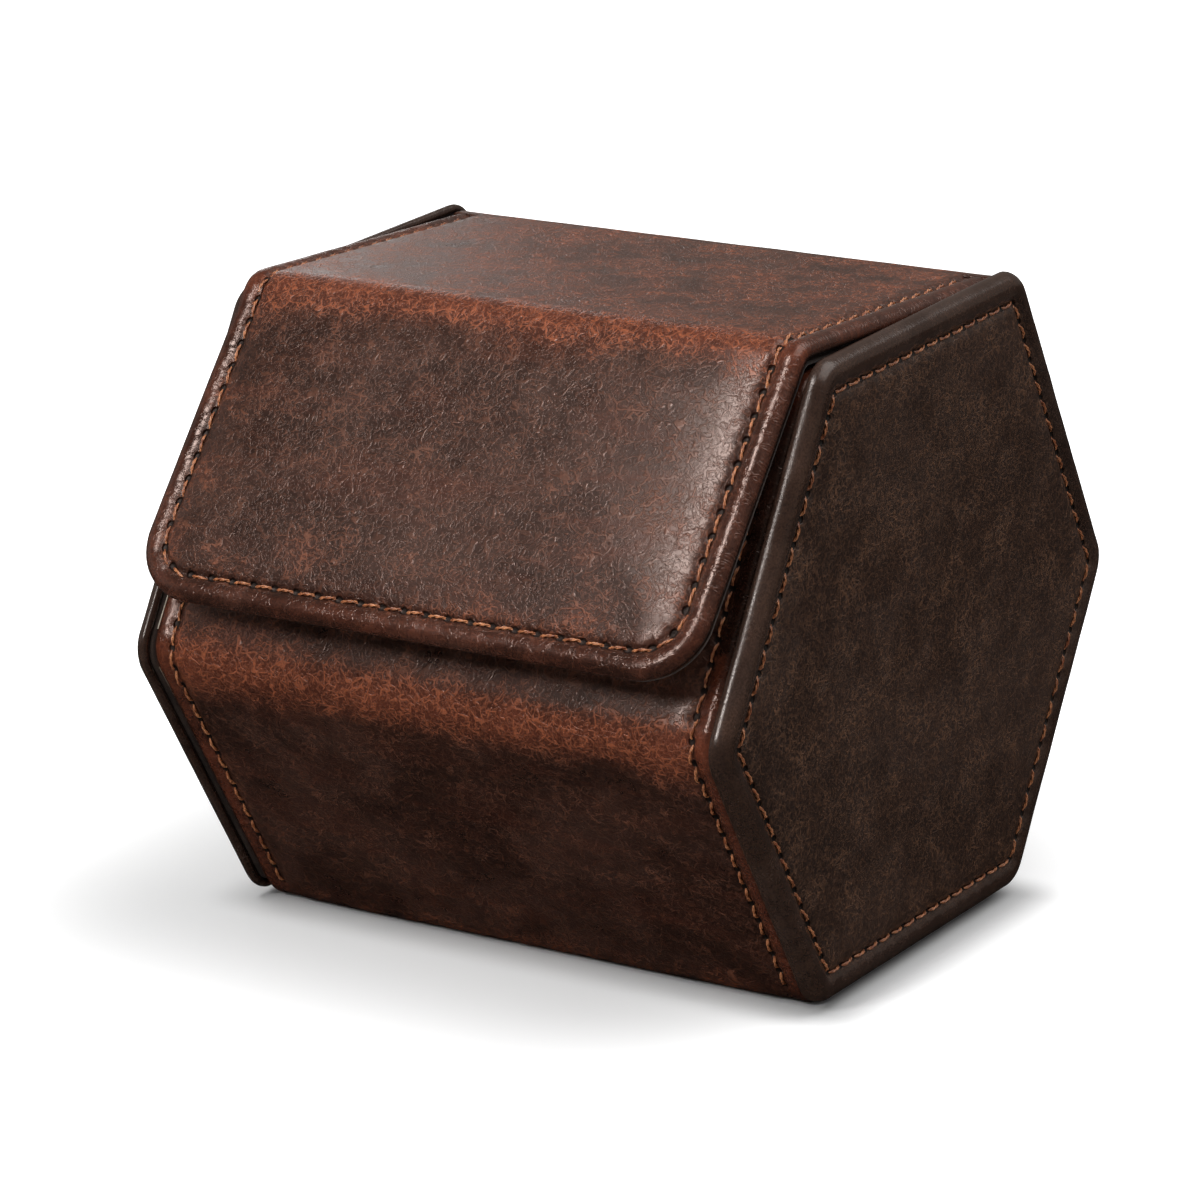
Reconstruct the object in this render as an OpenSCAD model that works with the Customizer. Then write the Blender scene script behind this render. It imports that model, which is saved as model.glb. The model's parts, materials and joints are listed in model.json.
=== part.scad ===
// Hexagonal leather pocket watch box with a folding flap.
// X runs along the box, the flap opens towards the front (-Y), +Z is up.
// The origin is the centre of the base, on the surface that the box stands on.

/* [Case] */
// Length over both end panels
case_l = 93.6; // [80:0.2:130]
// Front-to-back width of an end panel at its side corners
panel_w = 109; // [96:0.5:140]
// Height of an end panel
panel_h = 90; // [80:0.5:120]
// Length of an end panel's top and bottom edges
panel_flat = 54.5; // [46:0.5:66]
// Height of an end panel's side corners above the base
side_z = 43; // [38:0.5:50]
// Radius of an end panel's corners
panel_corner_r = 5.5; // [3:0.5:9]
// How far the body's walls sit inside the edge of the end panels
body_inset = 1.4; // [0.6:0.1:3]
// Radius of the body's long creases
body_crease_r = 6; // [4:0.5:9]
// Radius of the body's corner under the hinge
hinge_crease_r = 1.3; // [1.25:0.05:3]
// How far the top edge of the back corner lies below the front one
top_fall = 1.9; // [0:0.1:4]
// How far the top of the front wall leans back, to make room for the flap's fold
front_lean = 2; // [1.4:0.1:4]

/* [Layers] */
// Thickness of an end panel
panel_t = 3; // [2.6:0.1:5]
// Leather on the end panels
panel_leather_t = 1; // [0.8:0.1:1.5]
// Leather turned over the edge of an end panel
panel_edge_t = 1.2; // [0.8:0.1:2]
// Lining on the inside of an end panel
panel_lining_t = 0.6; // [0.4:0.1:1]
// Leather round the body
wrap_t = 1.2; // [0.8:0.1:1.8]
// Boards under the body's leather
board_t = 2; // [1.5:0.1:3]
// Lining inside the body
lining_t = 0.6; // [0.4:0.1:1]
// Gap left between two boards at a crease
board_gap = 0.4; // [0.2:0.1:1]
// Clearance round a piece glued into a turned edge
glue_gap = 0.05; // [0.02:0.01:0.2]

/* [Opening] */
// Width of the rim left at each end of the opening
rim_w = 5; // [4:0.5:8]
// Height of the front lip, measured up the wall from the middle crease
lip_h = 26; // [20:0.5:30]
// Width of the strip left behind the opening, under the hinge
back_strip_w = 10.5; // [8:0.5:14]

/* [Flap] */
// Clearance between the flap and each end panel
flap_side_gap = 0.4; // [0.3:0.1:1.5]
// Clearance between the flap and the body's top
flap_rest_gap = 0.6; // [0.5:0.1:1.5]
// How far the closed flap stands above the sloping top line of the end panels
flap_rise = 0.5; // [0:0.1:2]
// Clearance between the flap's front and the top corner of the front wall
flap_front_gap = 0.6; // [0.3:0.05:2]
// How much shorter the flap's front is than the front wall
flap_front_short = 8; // [5:0.1:15]
// How much flatter the flap's front lies than the front wall
flap_stand_off = 8; // [0.5:0.05:9]
// Radius of the flap's lower corners
flap_corner_r = 12; // [6:0.5:18]
// Leather on the flap
flap_leather_t = 1; // [0.8:0.1:1.5]
// Leather turned over the flap's edge
flap_edge_t = 1.2; // [0.8:0.1:2]
// Foam under the leather of the flap's front
flap_foam_t = 0.8; // [0.5:0.1:1.5]
// Boards inside the flap
flap_board_t = 1; // [0.8:0.1:1.5]
// Lining under the flap
flap_lining_t = 0.6; // [0.4:0.1:1]
// Radius of the rolled leather on the hinge line
hinge_r = 0.6; // [0.4:0.1:1]
// Clearance between the flap and the leather on the hinge line
hinge_gap = 0.3; // [0.1:0.05:0.6]
// Running clearance round the fold
fold_gap = 0.1; // [0.05:0.01:0.3]

/* [Closure] */
// Diameter of a magnet
magnet_d = 12; // [6:0.5:14]
// Distance between the two magnets of a pair
magnet_pitch = 44; // [24:1:56]
// Distance from a flap magnet's centre to the flap's lower edge
magnet_edge = 10; // [9:0.5:14]
// Height of the lip magnets above the middle crease, up the wall
lip_magnet_h = 15.5; // [10:0.5:16]
// Clearance round a magnet in its pocket
magnet_gap = 0.1; // [0.05:0.05:0.3]

/* [Stitching] */
// Distance from one stitch to the next
stitch_pitch = 3.4; // [2.5:0.1:5]
// Length of the thread that shows in a stitch
stitch_l = 2.5; // [1.5:0.1:2.5]
// Width of the thread
thread_w = 0.6; // [0.4:0.05:1]
// Height of a stitch above the leather
thread_h = 0.25; // [0.2:0.01:0.3]
// Distance from the seam to the edge on the end panels
panel_seam = 4.2; // [3:0.1:6]
// Distance from the seam to the edge on the body
body_seam = 3.2; // [2.5:0.1:4]
// Distance from the seam to the edge on the flap
flap_seam = 3.4; // [2.5:0.1:5]

/* [Watch cushion] */
// Diameter of the nest that the watch lies in
nest_d = 52.4; // [44:0.2:58]
// Depth of the nest
nest_depth = 11; // [8:0.5:14]
// Wall of the nest's cup
nest_wall = 0.8; // [0.6:0.1:1.5]
// Tilt of the cushion towards the front
cushion_tilt = 18; // [10:1:24]
// Height of the cushion's face at the middle of the box
cushion_z = 45; // [40:0.5:50]
// Cover on the cushion's face
cover_t = 1.2; // [0.8:0.1:2]
// Clearance between the cushion and the lining
cushion_gap = 0.3; // [0.2:0.1:1]
// Width of the recess for the crown and bow
crown_w = 18; // [12:0.5:24]
// How far the crown recess reaches past the nest
crown_l = 11; // [6:0.5:14]
// Depth of the crown recess
crown_depth = 7; // [4:0.5:10]

/* [Hidden] */

$fn = 64;
arc_steps = 6;
// A cut runs this far past the faces that it opens
past = 1;
// Thread between two stitches, where it dips into the leather
dip_h = 0.08;

// Colours
brown_leather = "#5a2f22";
dark_leather = "#3a2d29";
thread_colour = "#b06c46";
board_colour = "#8c8274";
lining_colour = "#2e2522";
velvet_colour = "#4a2b20";
magnet_colour = "#b9bcc0";
foam_colour = "#d8cfbf";

// Edges of the hexagon, counted from its top round the front
top_edge = 0;
upper_front = 1;
lower_front = 2;
base_edge = 3;
lower_back = 4;
upper_back = 5;

half_l = case_l / 2;
inner_x = half_l - panel_t;
cavity_x = inner_x - glue_gap;

// Profiles are lists of [y, z] points, anticlockwise from the top back corner
panel_points = [
    [panel_flat / 2, panel_h], [-panel_flat / 2, panel_h], [-panel_w / 2, side_z],
    [-panel_flat / 2, 0], [panel_flat / 2, 0], [panel_w / 2, side_z]
];
// The body's top slopes down to the back, under the flap
body_lines = [
    [panel_flat / 2, panel_h - top_fall],
    panel_points[1] + [front_lean, -front_lean * top_fall / panel_flat],
    panel_points[2], panel_points[3], panel_points[4], panel_points[5]
];
crease_radii = [hinge_crease_r, for (i = [1:5]) body_crease_r];
inner_crease_radii = [for (r = crease_radii) r - wrap_t];

flap_t = flap_leather_t + flap_foam_t + flap_board_t + flap_lining_t;
flap_x = inner_x - flap_side_gap;
body_top_inset = flap_t + flap_rest_gap - flap_rise;
wall_insets = [body_top_inset, body_inset, body_inset, 0, body_inset, body_inset];

wrap_outer = inset(body_lines, wall_insets);
wrap_inner = inset(wrap_outer, same(wrap_t));
board_inner = inset(wrap_inner, same(board_t));
lining_inner = inset(board_inner, same(lining_t));
cushion_outer = inset(lining_inner, same(cushion_gap));

// The hinge line is where the flap's outer face meets the back wall's outer face
hinge_corner = inset(body_lines, [-flap_rise, body_inset, body_inset, 0, body_inset, body_inset])[0];
flap_slope = atan2(top_fall, panel_flat);
flap_top_normal = turned([0, 1], -flap_slope);

// The flap's front hangs a little flatter than the front wall behind it
front_wall_run = body_lines[1] - body_lines[2];
flap_front_angle = atan2(front_wall_run[1], front_wall_run[0]) - flap_stand_off;
flap_front_l = norm(front_wall_run) - flap_front_short;
flap_front_normal = turned([0, 1], flap_front_angle);

// The fold is where the flap's top meets its front, once that clears the wall's corner
fold_r = flap_t / 2;
wall_corner = inset(wrap_outer, same(body_crease_r))[1];
fold_point = meet(
    flap_top_normal, flap_top_normal * hinge_corner - fold_r,
    flap_front_normal, flap_front_normal * wall_corner + body_crease_r + flap_front_gap + fold_r
);
fold_y = -norm(fold_point - hinge_corner + fold_r * flap_top_normal);
fold_start = fold_r * tan((flap_front_angle + flap_slope) / 2) + 2 * fold_gap;
hinge_strap_t = wrap_t;
hinge_start = norm(inset(wrap_outer, [0, 0, 0, 0, 0, hinge_strap_t])[0] - wrap_outer[0]) + hinge_gap;

window_x = cavity_x - rim_w;
back_y = wrap_outer[0][0] - back_strip_w;
magnet_t = flap_board_t;

function same(d) = [d, d, d, d, d, d];
function turned(p, a) = [p[0] * cos(a) - p[1] * sin(a), p[0] * sin(a) + p[1] * cos(a)];
function wrapped(points, i) = points[(i + len(points)) % len(points)];
function outward(p, q) = let (d = (q - p) / norm(q - p)) [d[1], -d[0]];
function edge_normal(points, i) = outward(wrapped(points, i), wrapped(points, i + 1));

// Where two lines cross, each given by its normal and its distance from the origin
function meet(n1, c1, n2, c2) = let (det = n1[0] * n2[1] - n1[1] * n2[0])
    [(c1 * n2[1] - c2 * n1[1]) / det, (n1[0] * c2 - n2[0] * c1) / det];

// A profile with each edge moved in by its own distance
function inset(points, distances) = [
    for (i = [0:len(points) - 1])
        let (j = (i + len(points) - 1) % len(points))
        let (n1 = edge_normal(points, j), n2 = edge_normal(points, i))
        meet(n1, n1 * points[i] - distances[j], n2, n2 * points[i] - distances[i])
];

// A profile with each corner rounded to its own radius
function rounded(points, radii) = [
    for (i = [0:len(points) - 1])
        let (r = radii[i], centre = inset(points, same(r))[i])
        let (n1 = edge_normal(points, i - 1), n2 = edge_normal(points, i))
        let (a1 = atan2(n1[1], n1[0]), swing = (atan2(n2[1], n2[0]) - a1 + 360) % 360)
        for (k = [0:arc_steps])
            let (a = a1 + swing * k / arc_steps)
            centre + r * [cos(a), sin(a)]
];

// How far a board stops short of corner i, so that it clears the next board and
// the leather's round crease
function board_trim(points, i) =
    let (turn = acos(edge_normal(points, i - 1) * edge_normal(points, i)))
    max(board_t, wrapped(inner_crease_radii, i)) * tan(turn / 2) + board_gap / 2;

function edge_length(points, i) = norm(wrapped(points, i + 1) - wrapped(points, i));

// Stretches a [y, z] profile along X from x0 to x1
module along_x(x0, x1) {
    translate([x0, 0, 0])
        rotate([90, 0, 90])
            linear_extrude(x1 - x0)
                children();
}

// Puts its children on edge i of a profile: local Y runs back up the edge from
// its far end and local Z points out of the body
module on_edge(points, i) {
    start = wrapped(points, i + 1);
    run = wrapped(points, i) - start;
    translate([0, start[0], start[1]])
        rotate([atan2(run[1], run[0]), 0, 0])
            children();
}

// A straight seam in the local XY plane: thread that dips between its stitches
module seam(from, to) {
    run = to - from;
    count = max(1, floor(norm(run) / stitch_pitch));
    step = norm(run) / count;
    translate([from[0], from[1], 0])
        rotate([0, 0, atan2(run[1], run[0])])
            union() {
                translate([0, -thread_w / 2, 0])
                    cube([norm(run), thread_w, dip_h]);
                for (i = [0:count - 1])
                    translate([i * step + (step - stitch_l) / 2, -thread_w / 2, 0])
                        cube([stitch_l, thread_w, thread_h]);
            }
}

// ---- Body ----

// Everything inside the opening: the top behind the hinge strip and the front
// wall above the lip
module window_cut() {
    wall_run = wrap_outer[1] - wrap_outer[2];
    lip_point = wrap_outer[2] + lip_h * wall_run / norm(wall_run);
    into = -edge_normal(wrap_outer, upper_front);
    reach = wrap_t + board_t + lining_t + past;
    along_x(-window_x, window_x)
        polygon([
            lip_point - past * into * 6,
            lip_point + reach * into,
            [0, lip_point[1] + reach],
            [back_y, panel_h - body_top_inset - reach - top_fall],
            [back_y, panel_h + past],
            [-panel_w / 2, panel_h + past]
        ]);
}

module wrap_leather() {
    color(brown_leather)
        difference() {
            along_x(-inner_x, inner_x)
                polygon(rounded(wrap_outer, crease_radii));
            along_x(-inner_x - past, inner_x + past)
                polygon(rounded(wrap_inner, inner_crease_radii));
            window_cut();
        }
}

// A board on the inside of wall i's leather, from x0 to x1 and over a stretch of
// the wall that is measured up from its far corner
module wall_slab(i, x0, x1, low, high) {
    color(board_colour)
        on_edge(wrap_inner, i)
            translate([x0, low, -board_t])
                cube([x1 - x0, high - low, board_t]);
}

// A board over a whole wall, clear of the creases
module wall_board(i, x0, x1) {
    high = edge_length(wrap_inner, i) - board_trim(wrap_inner, i);
    wall_slab(i, x0, x1, board_trim(wrap_inner, i + 1), high);
}

module bottom_board() {
    wall_board(base_edge, -inner_x, inner_x);
}

module lower_front_board() {
    wall_board(lower_front, -inner_x, inner_x);
}

module lower_back_board() {
    wall_board(lower_back, -inner_x, inner_x);
}

module upper_back_board() {
    wall_board(upper_back, -inner_x, inner_x);
}

// The narrow board behind the opening, under the hinge
module hinge_board() {
    top_l = edge_length(wrap_inner, top_edge);
    strip_l = (wrap_inner[0][0] - back_y) / cos(flap_slope);
    wall_slab(top_edge, -window_x, window_x, top_l - strip_l, top_l - board_trim(wrap_inner, top_edge));
}

// The lip board holds the magnets in bored pockets
module lip_board() {
    difference() {
        wall_board(upper_front, -window_x, window_x);
        window_cut();
        at_lip_magnets()
            translate([0, 0, -board_t - past])
                cylinder(d = magnet_d + 2 * magnet_gap, h = board_t + 2 * past);
    }
}

module at_lip_magnets() {
    on_edge(wrap_inner, upper_front)
        for (side = [-1, 1])
            translate([side * magnet_pitch / 2, lip_magnet_h, 0])
                children();
}

module lip_magnets() {
    color(magnet_colour)
        at_lip_magnets()
            translate([0, 0, -board_t])
                cylinder(d = magnet_d, h = board_t);
}

// The rim beside the opening: one strip up the front wall and one along the top
module right_rim_board() {
    wall_board(upper_front, window_x + board_gap, inner_x);
    wall_board(top_edge, window_x + board_gap, inner_x);
}

module left_rim_board() {
    mirror([1, 0, 0])
        right_rim_board();
}

module body_lining() {
    color(lining_colour)
        difference() {
            along_x(-cavity_x, cavity_x)
                polygon(board_inner);
            along_x(-cavity_x - past, cavity_x + past)
                polygon(lining_inner);
            window_cut();
        }
}

// The leather that carries the flap: a tongue up the back and a rolled edge
module hinge_leather() {
    foot = wrap_outer[0];
    inner_foot = inset(wrap_outer, [0, 0, 0, 0, 0, hinge_strap_t])[0];
    rise = hinge_corner - foot;
    color(brown_leather)
        union() {
            along_x(-flap_x, flap_x)
                polygon([foot, foot + rise, inner_foot + rise, inner_foot]);
            along_x(-flap_x, flap_x)
                translate(hinge_corner)
                    circle(r = hinge_r);
        }
}

// Seams beside the end panels, on every wall but the base
module right_body_stitching() {
    seam_x = inner_x - body_seam;
    color(thread_colour)
        for (i = [top_edge, upper_front, lower_front, lower_back, upper_back])
            on_edge(wrap_outer, i)
                seam([seam_x, body_crease_r], [seam_x, edge_length(wrap_outer, i) - body_crease_r]);
}

module left_body_stitching() {
    mirror([1, 0, 0])
        right_body_stitching();
}

// ---- End panels ----

panel_face_x = half_l - thread_h;
panel_tray = inset(panel_points, same(panel_edge_t));
panel_fill = inset(panel_tray, same(glue_gap));
fill_radii = same(panel_corner_r - panel_edge_t);

module right_panel_leather() {
    color(dark_leather)
        difference() {
            along_x(inner_x, panel_face_x)
                polygon(rounded(panel_points, same(panel_corner_r)));
            along_x(inner_x - past, panel_face_x - panel_leather_t)
                polygon(rounded(panel_tray, fill_radii));
        }
}

module right_panel_board() {
    color(board_colour)
        along_x(inner_x + panel_lining_t, panel_face_x - panel_leather_t)
            polygon(rounded(panel_fill, fill_radii));
}

module right_panel_lining() {
    color(lining_colour)
        along_x(inner_x, inner_x + panel_lining_t)
            polygon(rounded(panel_fill, fill_radii));
}

module right_panel_stitching() {
    seam_points = inset(panel_points, same(panel_seam));
    color(thread_colour)
        translate([panel_face_x, 0, 0])
            rotate([90, 0, 90])
                for (i = [0:5]) {
                    run = wrapped(seam_points, i + 1) - wrapped(seam_points, i);
                    ends = run / norm(run) * thread_w;
                    seam(wrapped(seam_points, i) + ends, wrapped(seam_points, i + 1) - ends);
                }
}

module left_panel_leather() {
    mirror([1, 0, 0])
        right_panel_leather();
}

module left_panel_board() {
    mirror([1, 0, 0])
        right_panel_board();
}

module left_panel_lining() {
    mirror([1, 0, 0])
        right_panel_lining();
}

module left_panel_stitching() {
    mirror([1, 0, 0])
        right_panel_stitching();
}

// ---- Watch cushion ----

// The upper foam layer is as deep as the nest's cup
ring_low = -nest_depth - nest_wall;

// Local Z stands square to the cushion's tilted face, at its middle
module on_cushion() {
    translate([0, 0, cushion_z])
        rotate([cushion_tilt, 0, 0])
            children();
}

// The part of the cavity between two depths under the cushion's face
module cushion_slice(low, high) {
    cushion_x = cavity_x - cushion_gap;
    intersection() {
        along_x(-cushion_x, cushion_x)
            polygon(cushion_outer);
        on_cushion()
            translate([-half_l, -panel_w, low])
                cube([case_l, 2 * panel_w, high - low]);
    }
}

module crown_recess() {
    on_cushion()
        translate([-crown_w / 2, 0, -crown_depth])
            cube([crown_w, nest_d / 2 + nest_wall + crown_l, crown_depth + past]);
}

module nest_hole(clearance) {
    on_cushion()
        translate([0, 0, ring_low - past])
            cylinder(d = nest_d + 2 * nest_wall + 2 * clearance, h = 2 * past - ring_low);
}

// The cushion's foam has two layers, and the nest is a hole through the upper one
module cushion_base() {
    color(foam_colour)
        cushion_slice(-panel_h, ring_low);
}

module cushion_ring() {
    color(foam_colour)
        difference() {
            cushion_slice(ring_low, -cover_t);
            nest_hole(glue_gap);
            crown_recess();
        }
}

module cushion_cover() {
    color(velvet_colour)
        difference() {
            cushion_slice(-cover_t, 0);
            nest_hole(glue_gap);
            crown_recess();
        }
}

// A fabric cup that lines the nest, cut down where the crown lies
module nest_cup() {
    color(velvet_colour)
        difference() {
            on_cushion()
                translate([0, 0, ring_low])
                    difference() {
                        cylinder(d = nest_d + 2 * nest_wall, h = nest_depth + nest_wall);
                        translate([0, 0, nest_wall])
                            cylinder(d = nest_d, h = nest_depth + past);
                    }
            crown_recess();
        }
}

// ---- Flap ----

// Local frame of the flap's top: the hinge line at the origin, -Y to the front,
// its outer face at Z = 0
module on_flap_top() {
    translate([0, hinge_corner[0], hinge_corner[1]])
        rotate([-flap_slope, 0, 0])
            children();
}

// Local frame of the flap's front: the fold line at the origin, -Y down the front,
// its middle layer at Z = 0
module on_flap_front() {
    translate([0, fold_point[0], fold_point[1]])
        rotate([flap_front_angle, 0, 0])
            children();
}

top_low_y = fold_y + fold_start;

// A slice of the flap's top between two heights, inset from the turned edge
module flap_top_slice(low, high, edge) {
    translate([-flap_x + edge, top_low_y, low])
        cube([2 * (flap_x - edge), -hinge_start - top_low_y, high - low]);
}

module flap_top_leather() {
    color(brown_leather)
        on_flap_top()
            difference() {
                flap_top_slice(-flap_t, 0, 0);
                flap_top_core(-flap_t - past, -flap_leather_t, flap_edge_t);
                fold_clearance(fold_y);
            }
}

// The space inside the turned edges, open towards the hinge and the fold
module flap_top_core(low, high, edge) {
    translate([-flap_x + edge, top_low_y - past, low])
        cube([2 * (flap_x - edge), -top_low_y + 2 * past, high - low]);
}

// Room for the rolled fold, at the end of the flap's top
module fold_clearance(y) {
    translate([-flap_x - past, y, -fold_r])
        rotate([0, 90, 0])
            cylinder(r = fold_r + fold_gap, h = 2 * (flap_x + past));
}

module flap_top_board() {
    color(board_colour)
        on_flap_top()
            difference() {
                flap_top_slice(-flap_t + flap_lining_t, -flap_leather_t, flap_edge_t + glue_gap);
                fold_clearance(fold_y);
            }
}

module flap_top_lining() {
    color(lining_colour)
        on_flap_top()
            difference() {
                flap_top_slice(-flap_t, -flap_t + flap_lining_t, flap_edge_t + glue_gap);
                fold_clearance(fold_y);
            }
}

module flap_top_stitching() {
    seam_x = flap_x - flap_seam;
    color(thread_colour)
        on_flap_top()
            for (side = [-1, 1])
                seam([side * seam_x, top_low_y + thread_w], [side * seam_x, -hinge_start - flap_seam]);
}

// The leather rolled round the fold line
module fold_leather() {
    color(brown_leather)
        along_x(-flap_x, flap_x)
            translate(fold_point)
                circle(r = fold_r);
}

// Outline of the flap's front in its local XY plane, with two round corners
module flap_front_outline(edge) {
    low_y = -flap_front_l + edge;
    x = flap_x - edge;
    r = flap_corner_r - edge;
    union() {
        translate([-x, low_y + r])
            square([2 * x, -fold_start - low_y - r]);
        translate([-x + r, low_y])
            square([2 * (x - r), r + thread_w]);
        for (side = [-1, 1])
            translate([side * (x - r), low_y + r])
                circle(r = r);
    }
}

module flap_front_layer(low, high, edge) {
    difference() {
        translate([0, 0, low])
            linear_extrude(high - low)
                flap_front_outline(edge);
        translate([-flap_x - past, 0, 0])
            rotate([0, 90, 0])
                cylinder(r = fold_r + fold_gap, h = 2 * (flap_x + past));
    }
}

foam_top = fold_r - flap_leather_t;
foam_low = foam_top - flap_foam_t;
flap_board_low = foam_low - flap_board_t;
flap_core_edge = flap_edge_t + glue_gap;

module flap_front_leather() {
    color(brown_leather)
        on_flap_front()
            difference() {
                flap_front_layer(-fold_r, fold_r, 0);
                translate([0, 0, -fold_r - past])
                    linear_extrude(fold_r + past + foam_top)
                        union() {
                            flap_front_outline(flap_edge_t);
                            translate([-flap_x + flap_edge_t, -flap_front_l / 2])
                                square([2 * (flap_x - flap_edge_t), flap_front_l / 2 + past]);
                        }
            }
}

module flap_front_foam() {
    color(foam_colour)
        on_flap_front()
            flap_front_layer(foam_low, foam_top, flap_core_edge);
}

module at_flap_magnets() {
    on_flap_front()
        for (side = [-1, 1])
            translate([side * magnet_pitch / 2, -flap_front_l + magnet_edge, flap_board_low])
                children();
}

module flap_front_board() {
    color(board_colour)
        difference() {
            on_flap_front()
                flap_front_layer(flap_board_low, foam_low, flap_core_edge);
            at_flap_magnets()
                translate([0, 0, -past])
                    cylinder(d = magnet_d + 2 * magnet_gap, h = magnet_t + 2 * past);
        }
}

module flap_magnets() {
    color(magnet_colour)
        at_flap_magnets()
            cylinder(d = magnet_d, h = magnet_t);
}

module flap_front_lining() {
    color(lining_colour)
        on_flap_front()
            flap_front_layer(-fold_r, flap_board_low, flap_core_edge);
}

// Side seams, the seam along the lower edge and short stitches round its corners
module flap_front_stitching() {
    x = flap_x - flap_seam;
    r = flap_corner_r - flap_seam;
    low_y = -flap_front_l + flap_seam;
    corner_steps = 4;
    color(thread_colour)
        on_flap_front()
            translate([0, 0, fold_r]) {
                seam([-x + r, low_y], [x - r, low_y]);
                for (side = [-1, 1]) {
                    seam([side * x, low_y + r], [side * x, -fold_start - thread_w]);
                    for (k = [0:corner_steps - 1])
                        translate([side * (x - r), low_y + r, thread_h / 2])
                            rotate([0, 0, side * (k + 0.5) * 90 / corner_steps])
                                translate([0, -r, 0])
                                    cube([stitch_l, thread_w, thread_h], center = true);
                }
            }
}

wrap_leather();
bottom_board();
lower_front_board();
lip_board();
left_rim_board();
right_rim_board();
hinge_board();
upper_back_board();
lower_back_board();
body_lining();
lip_magnets();
hinge_leather();
left_body_stitching();
right_body_stitching();
left_panel_leather();
left_panel_board();
left_panel_lining();
left_panel_stitching();
right_panel_leather();
right_panel_board();
right_panel_lining();
right_panel_stitching();
cushion_base();
cushion_ring();
cushion_cover();
nest_cup();
flap_top_leather();
flap_top_board();
flap_top_lining();
flap_top_stitching();
fold_leather();
flap_front_leather();
flap_front_foam();
flap_front_board();
flap_front_lining();
flap_front_stitching();
flap_magnets();
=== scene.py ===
import json
import math
import bmesh
import bpy
import numpy as np
from mathutils import Matrix, Vector, noise
from mathutils.bvhtree import BVHTree


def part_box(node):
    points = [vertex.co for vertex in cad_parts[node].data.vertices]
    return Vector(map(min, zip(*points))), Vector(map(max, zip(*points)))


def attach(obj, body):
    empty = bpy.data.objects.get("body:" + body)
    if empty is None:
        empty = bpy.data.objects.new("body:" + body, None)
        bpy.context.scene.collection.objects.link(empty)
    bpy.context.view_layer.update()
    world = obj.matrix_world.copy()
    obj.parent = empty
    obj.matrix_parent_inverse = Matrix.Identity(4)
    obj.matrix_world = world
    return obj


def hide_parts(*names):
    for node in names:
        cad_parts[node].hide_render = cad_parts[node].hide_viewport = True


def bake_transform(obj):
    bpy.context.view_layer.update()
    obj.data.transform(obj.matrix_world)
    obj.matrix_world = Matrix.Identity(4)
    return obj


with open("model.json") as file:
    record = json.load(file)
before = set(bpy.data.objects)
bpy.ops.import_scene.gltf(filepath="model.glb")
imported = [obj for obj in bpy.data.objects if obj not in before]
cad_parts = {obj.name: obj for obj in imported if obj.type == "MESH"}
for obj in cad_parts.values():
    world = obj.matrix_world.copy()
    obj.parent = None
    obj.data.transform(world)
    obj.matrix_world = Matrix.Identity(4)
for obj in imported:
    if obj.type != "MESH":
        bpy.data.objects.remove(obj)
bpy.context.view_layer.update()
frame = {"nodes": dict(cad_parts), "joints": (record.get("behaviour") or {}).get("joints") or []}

scene = bpy.context.scene

# Lengths are in millimetres here and become metres in makeMesh.
# X runs along the box, the flap opens towards -Y, Z is up.
mm = 0.001
perMetre = 1000


def cadRange(node, axis):
    low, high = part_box(node)
    return low[axis] * perMetre, high[axis] * perMetre


def jointPoint(name):
    spot = next(j for j in frame["joints"] if j["name"] == name)["pos_m"]
    return np.array([spot[1], spot[2]]) * perMetre


innerX = cadRange("right_panel_leather", 0)[0]
flapX = cadRange("flap_front_leather", 0)[1]
panelHalfWidth = cadRange("right_panel_leather", 1)[1]
panelHeight = cadRange("right_panel_leather", 2)[1]
hingePoint = jointPoint("flap_hinge")
foldPoint = jointPoint("flap_fold")

case = {
    "panelFlat": 54.5,
    "sideHeight": 43,
    "topFall": 1.9,
    "frontLean": 2,
    "bodyInset": 1.4,
    "topInset": 3.5,
    "wallDepth": 3.8,
    "creaseRadii": [1.3, 6, 6, 6, 6, 6],
    "flapDepth": 3.4,
    "flapStandOff": 8,
    "stitchPitch": 3.4,
    # the panels stop short of the flap and the floor
    "panelTrim": [0.3, 0.15, 0, 1.3, 0, 0],
    "panelFrontCorner": [0.9, -1.7],
}


def turned(point, degrees):
    a = math.radians(degrees)
    y, z = point
    return np.array([y * math.cos(a) - z * math.sin(a), y * math.sin(a) + z * math.cos(a)])


def unit(vector):
    return vector / np.linalg.norm(vector)


def edgeNormals(points):
    runs = np.roll(points, -1, axis=0) - points
    runs = runs / np.linalg.norm(runs, axis=1)[:, None]
    return np.stack([runs[:, 1], -runs[:, 0]], axis=1)


def crossing(normal1, far1, normal2, far2):
    return np.linalg.solve(np.array([normal1, normal2]), np.array([far1, far2]))


def insetOutline(points, distances):
    # an anticlockwise outline with each edge moved in by its own distance
    points = np.array(points, float)
    distances = np.broadcast_to(np.array(distances, float), len(points))
    normals = edgeNormals(points)
    return np.array([
        crossing(
            normals[i - 1], normals[i - 1] @ points[i] - distances[i - 1],
            normals[i], normals[i] @ points[i] - distances[i],
        )
        for i in range(len(points))
    ])


def cornerArc(points, i, radius, steps):
    # points and normals round corner i
    normals = edgeNormals(points)
    centre = insetOutline(points, radius)[i]
    first = math.atan2(normals[i - 1][1], normals[i - 1][0])
    swing = (math.atan2(normals[i][1], normals[i][0]) - first) % (2 * math.pi)
    angles = first + swing * np.linspace(0, 1, steps + 1)
    outward = np.stack([np.cos(angles), np.sin(angles)], axis=1)
    return centre + radius * outward, outward


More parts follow.
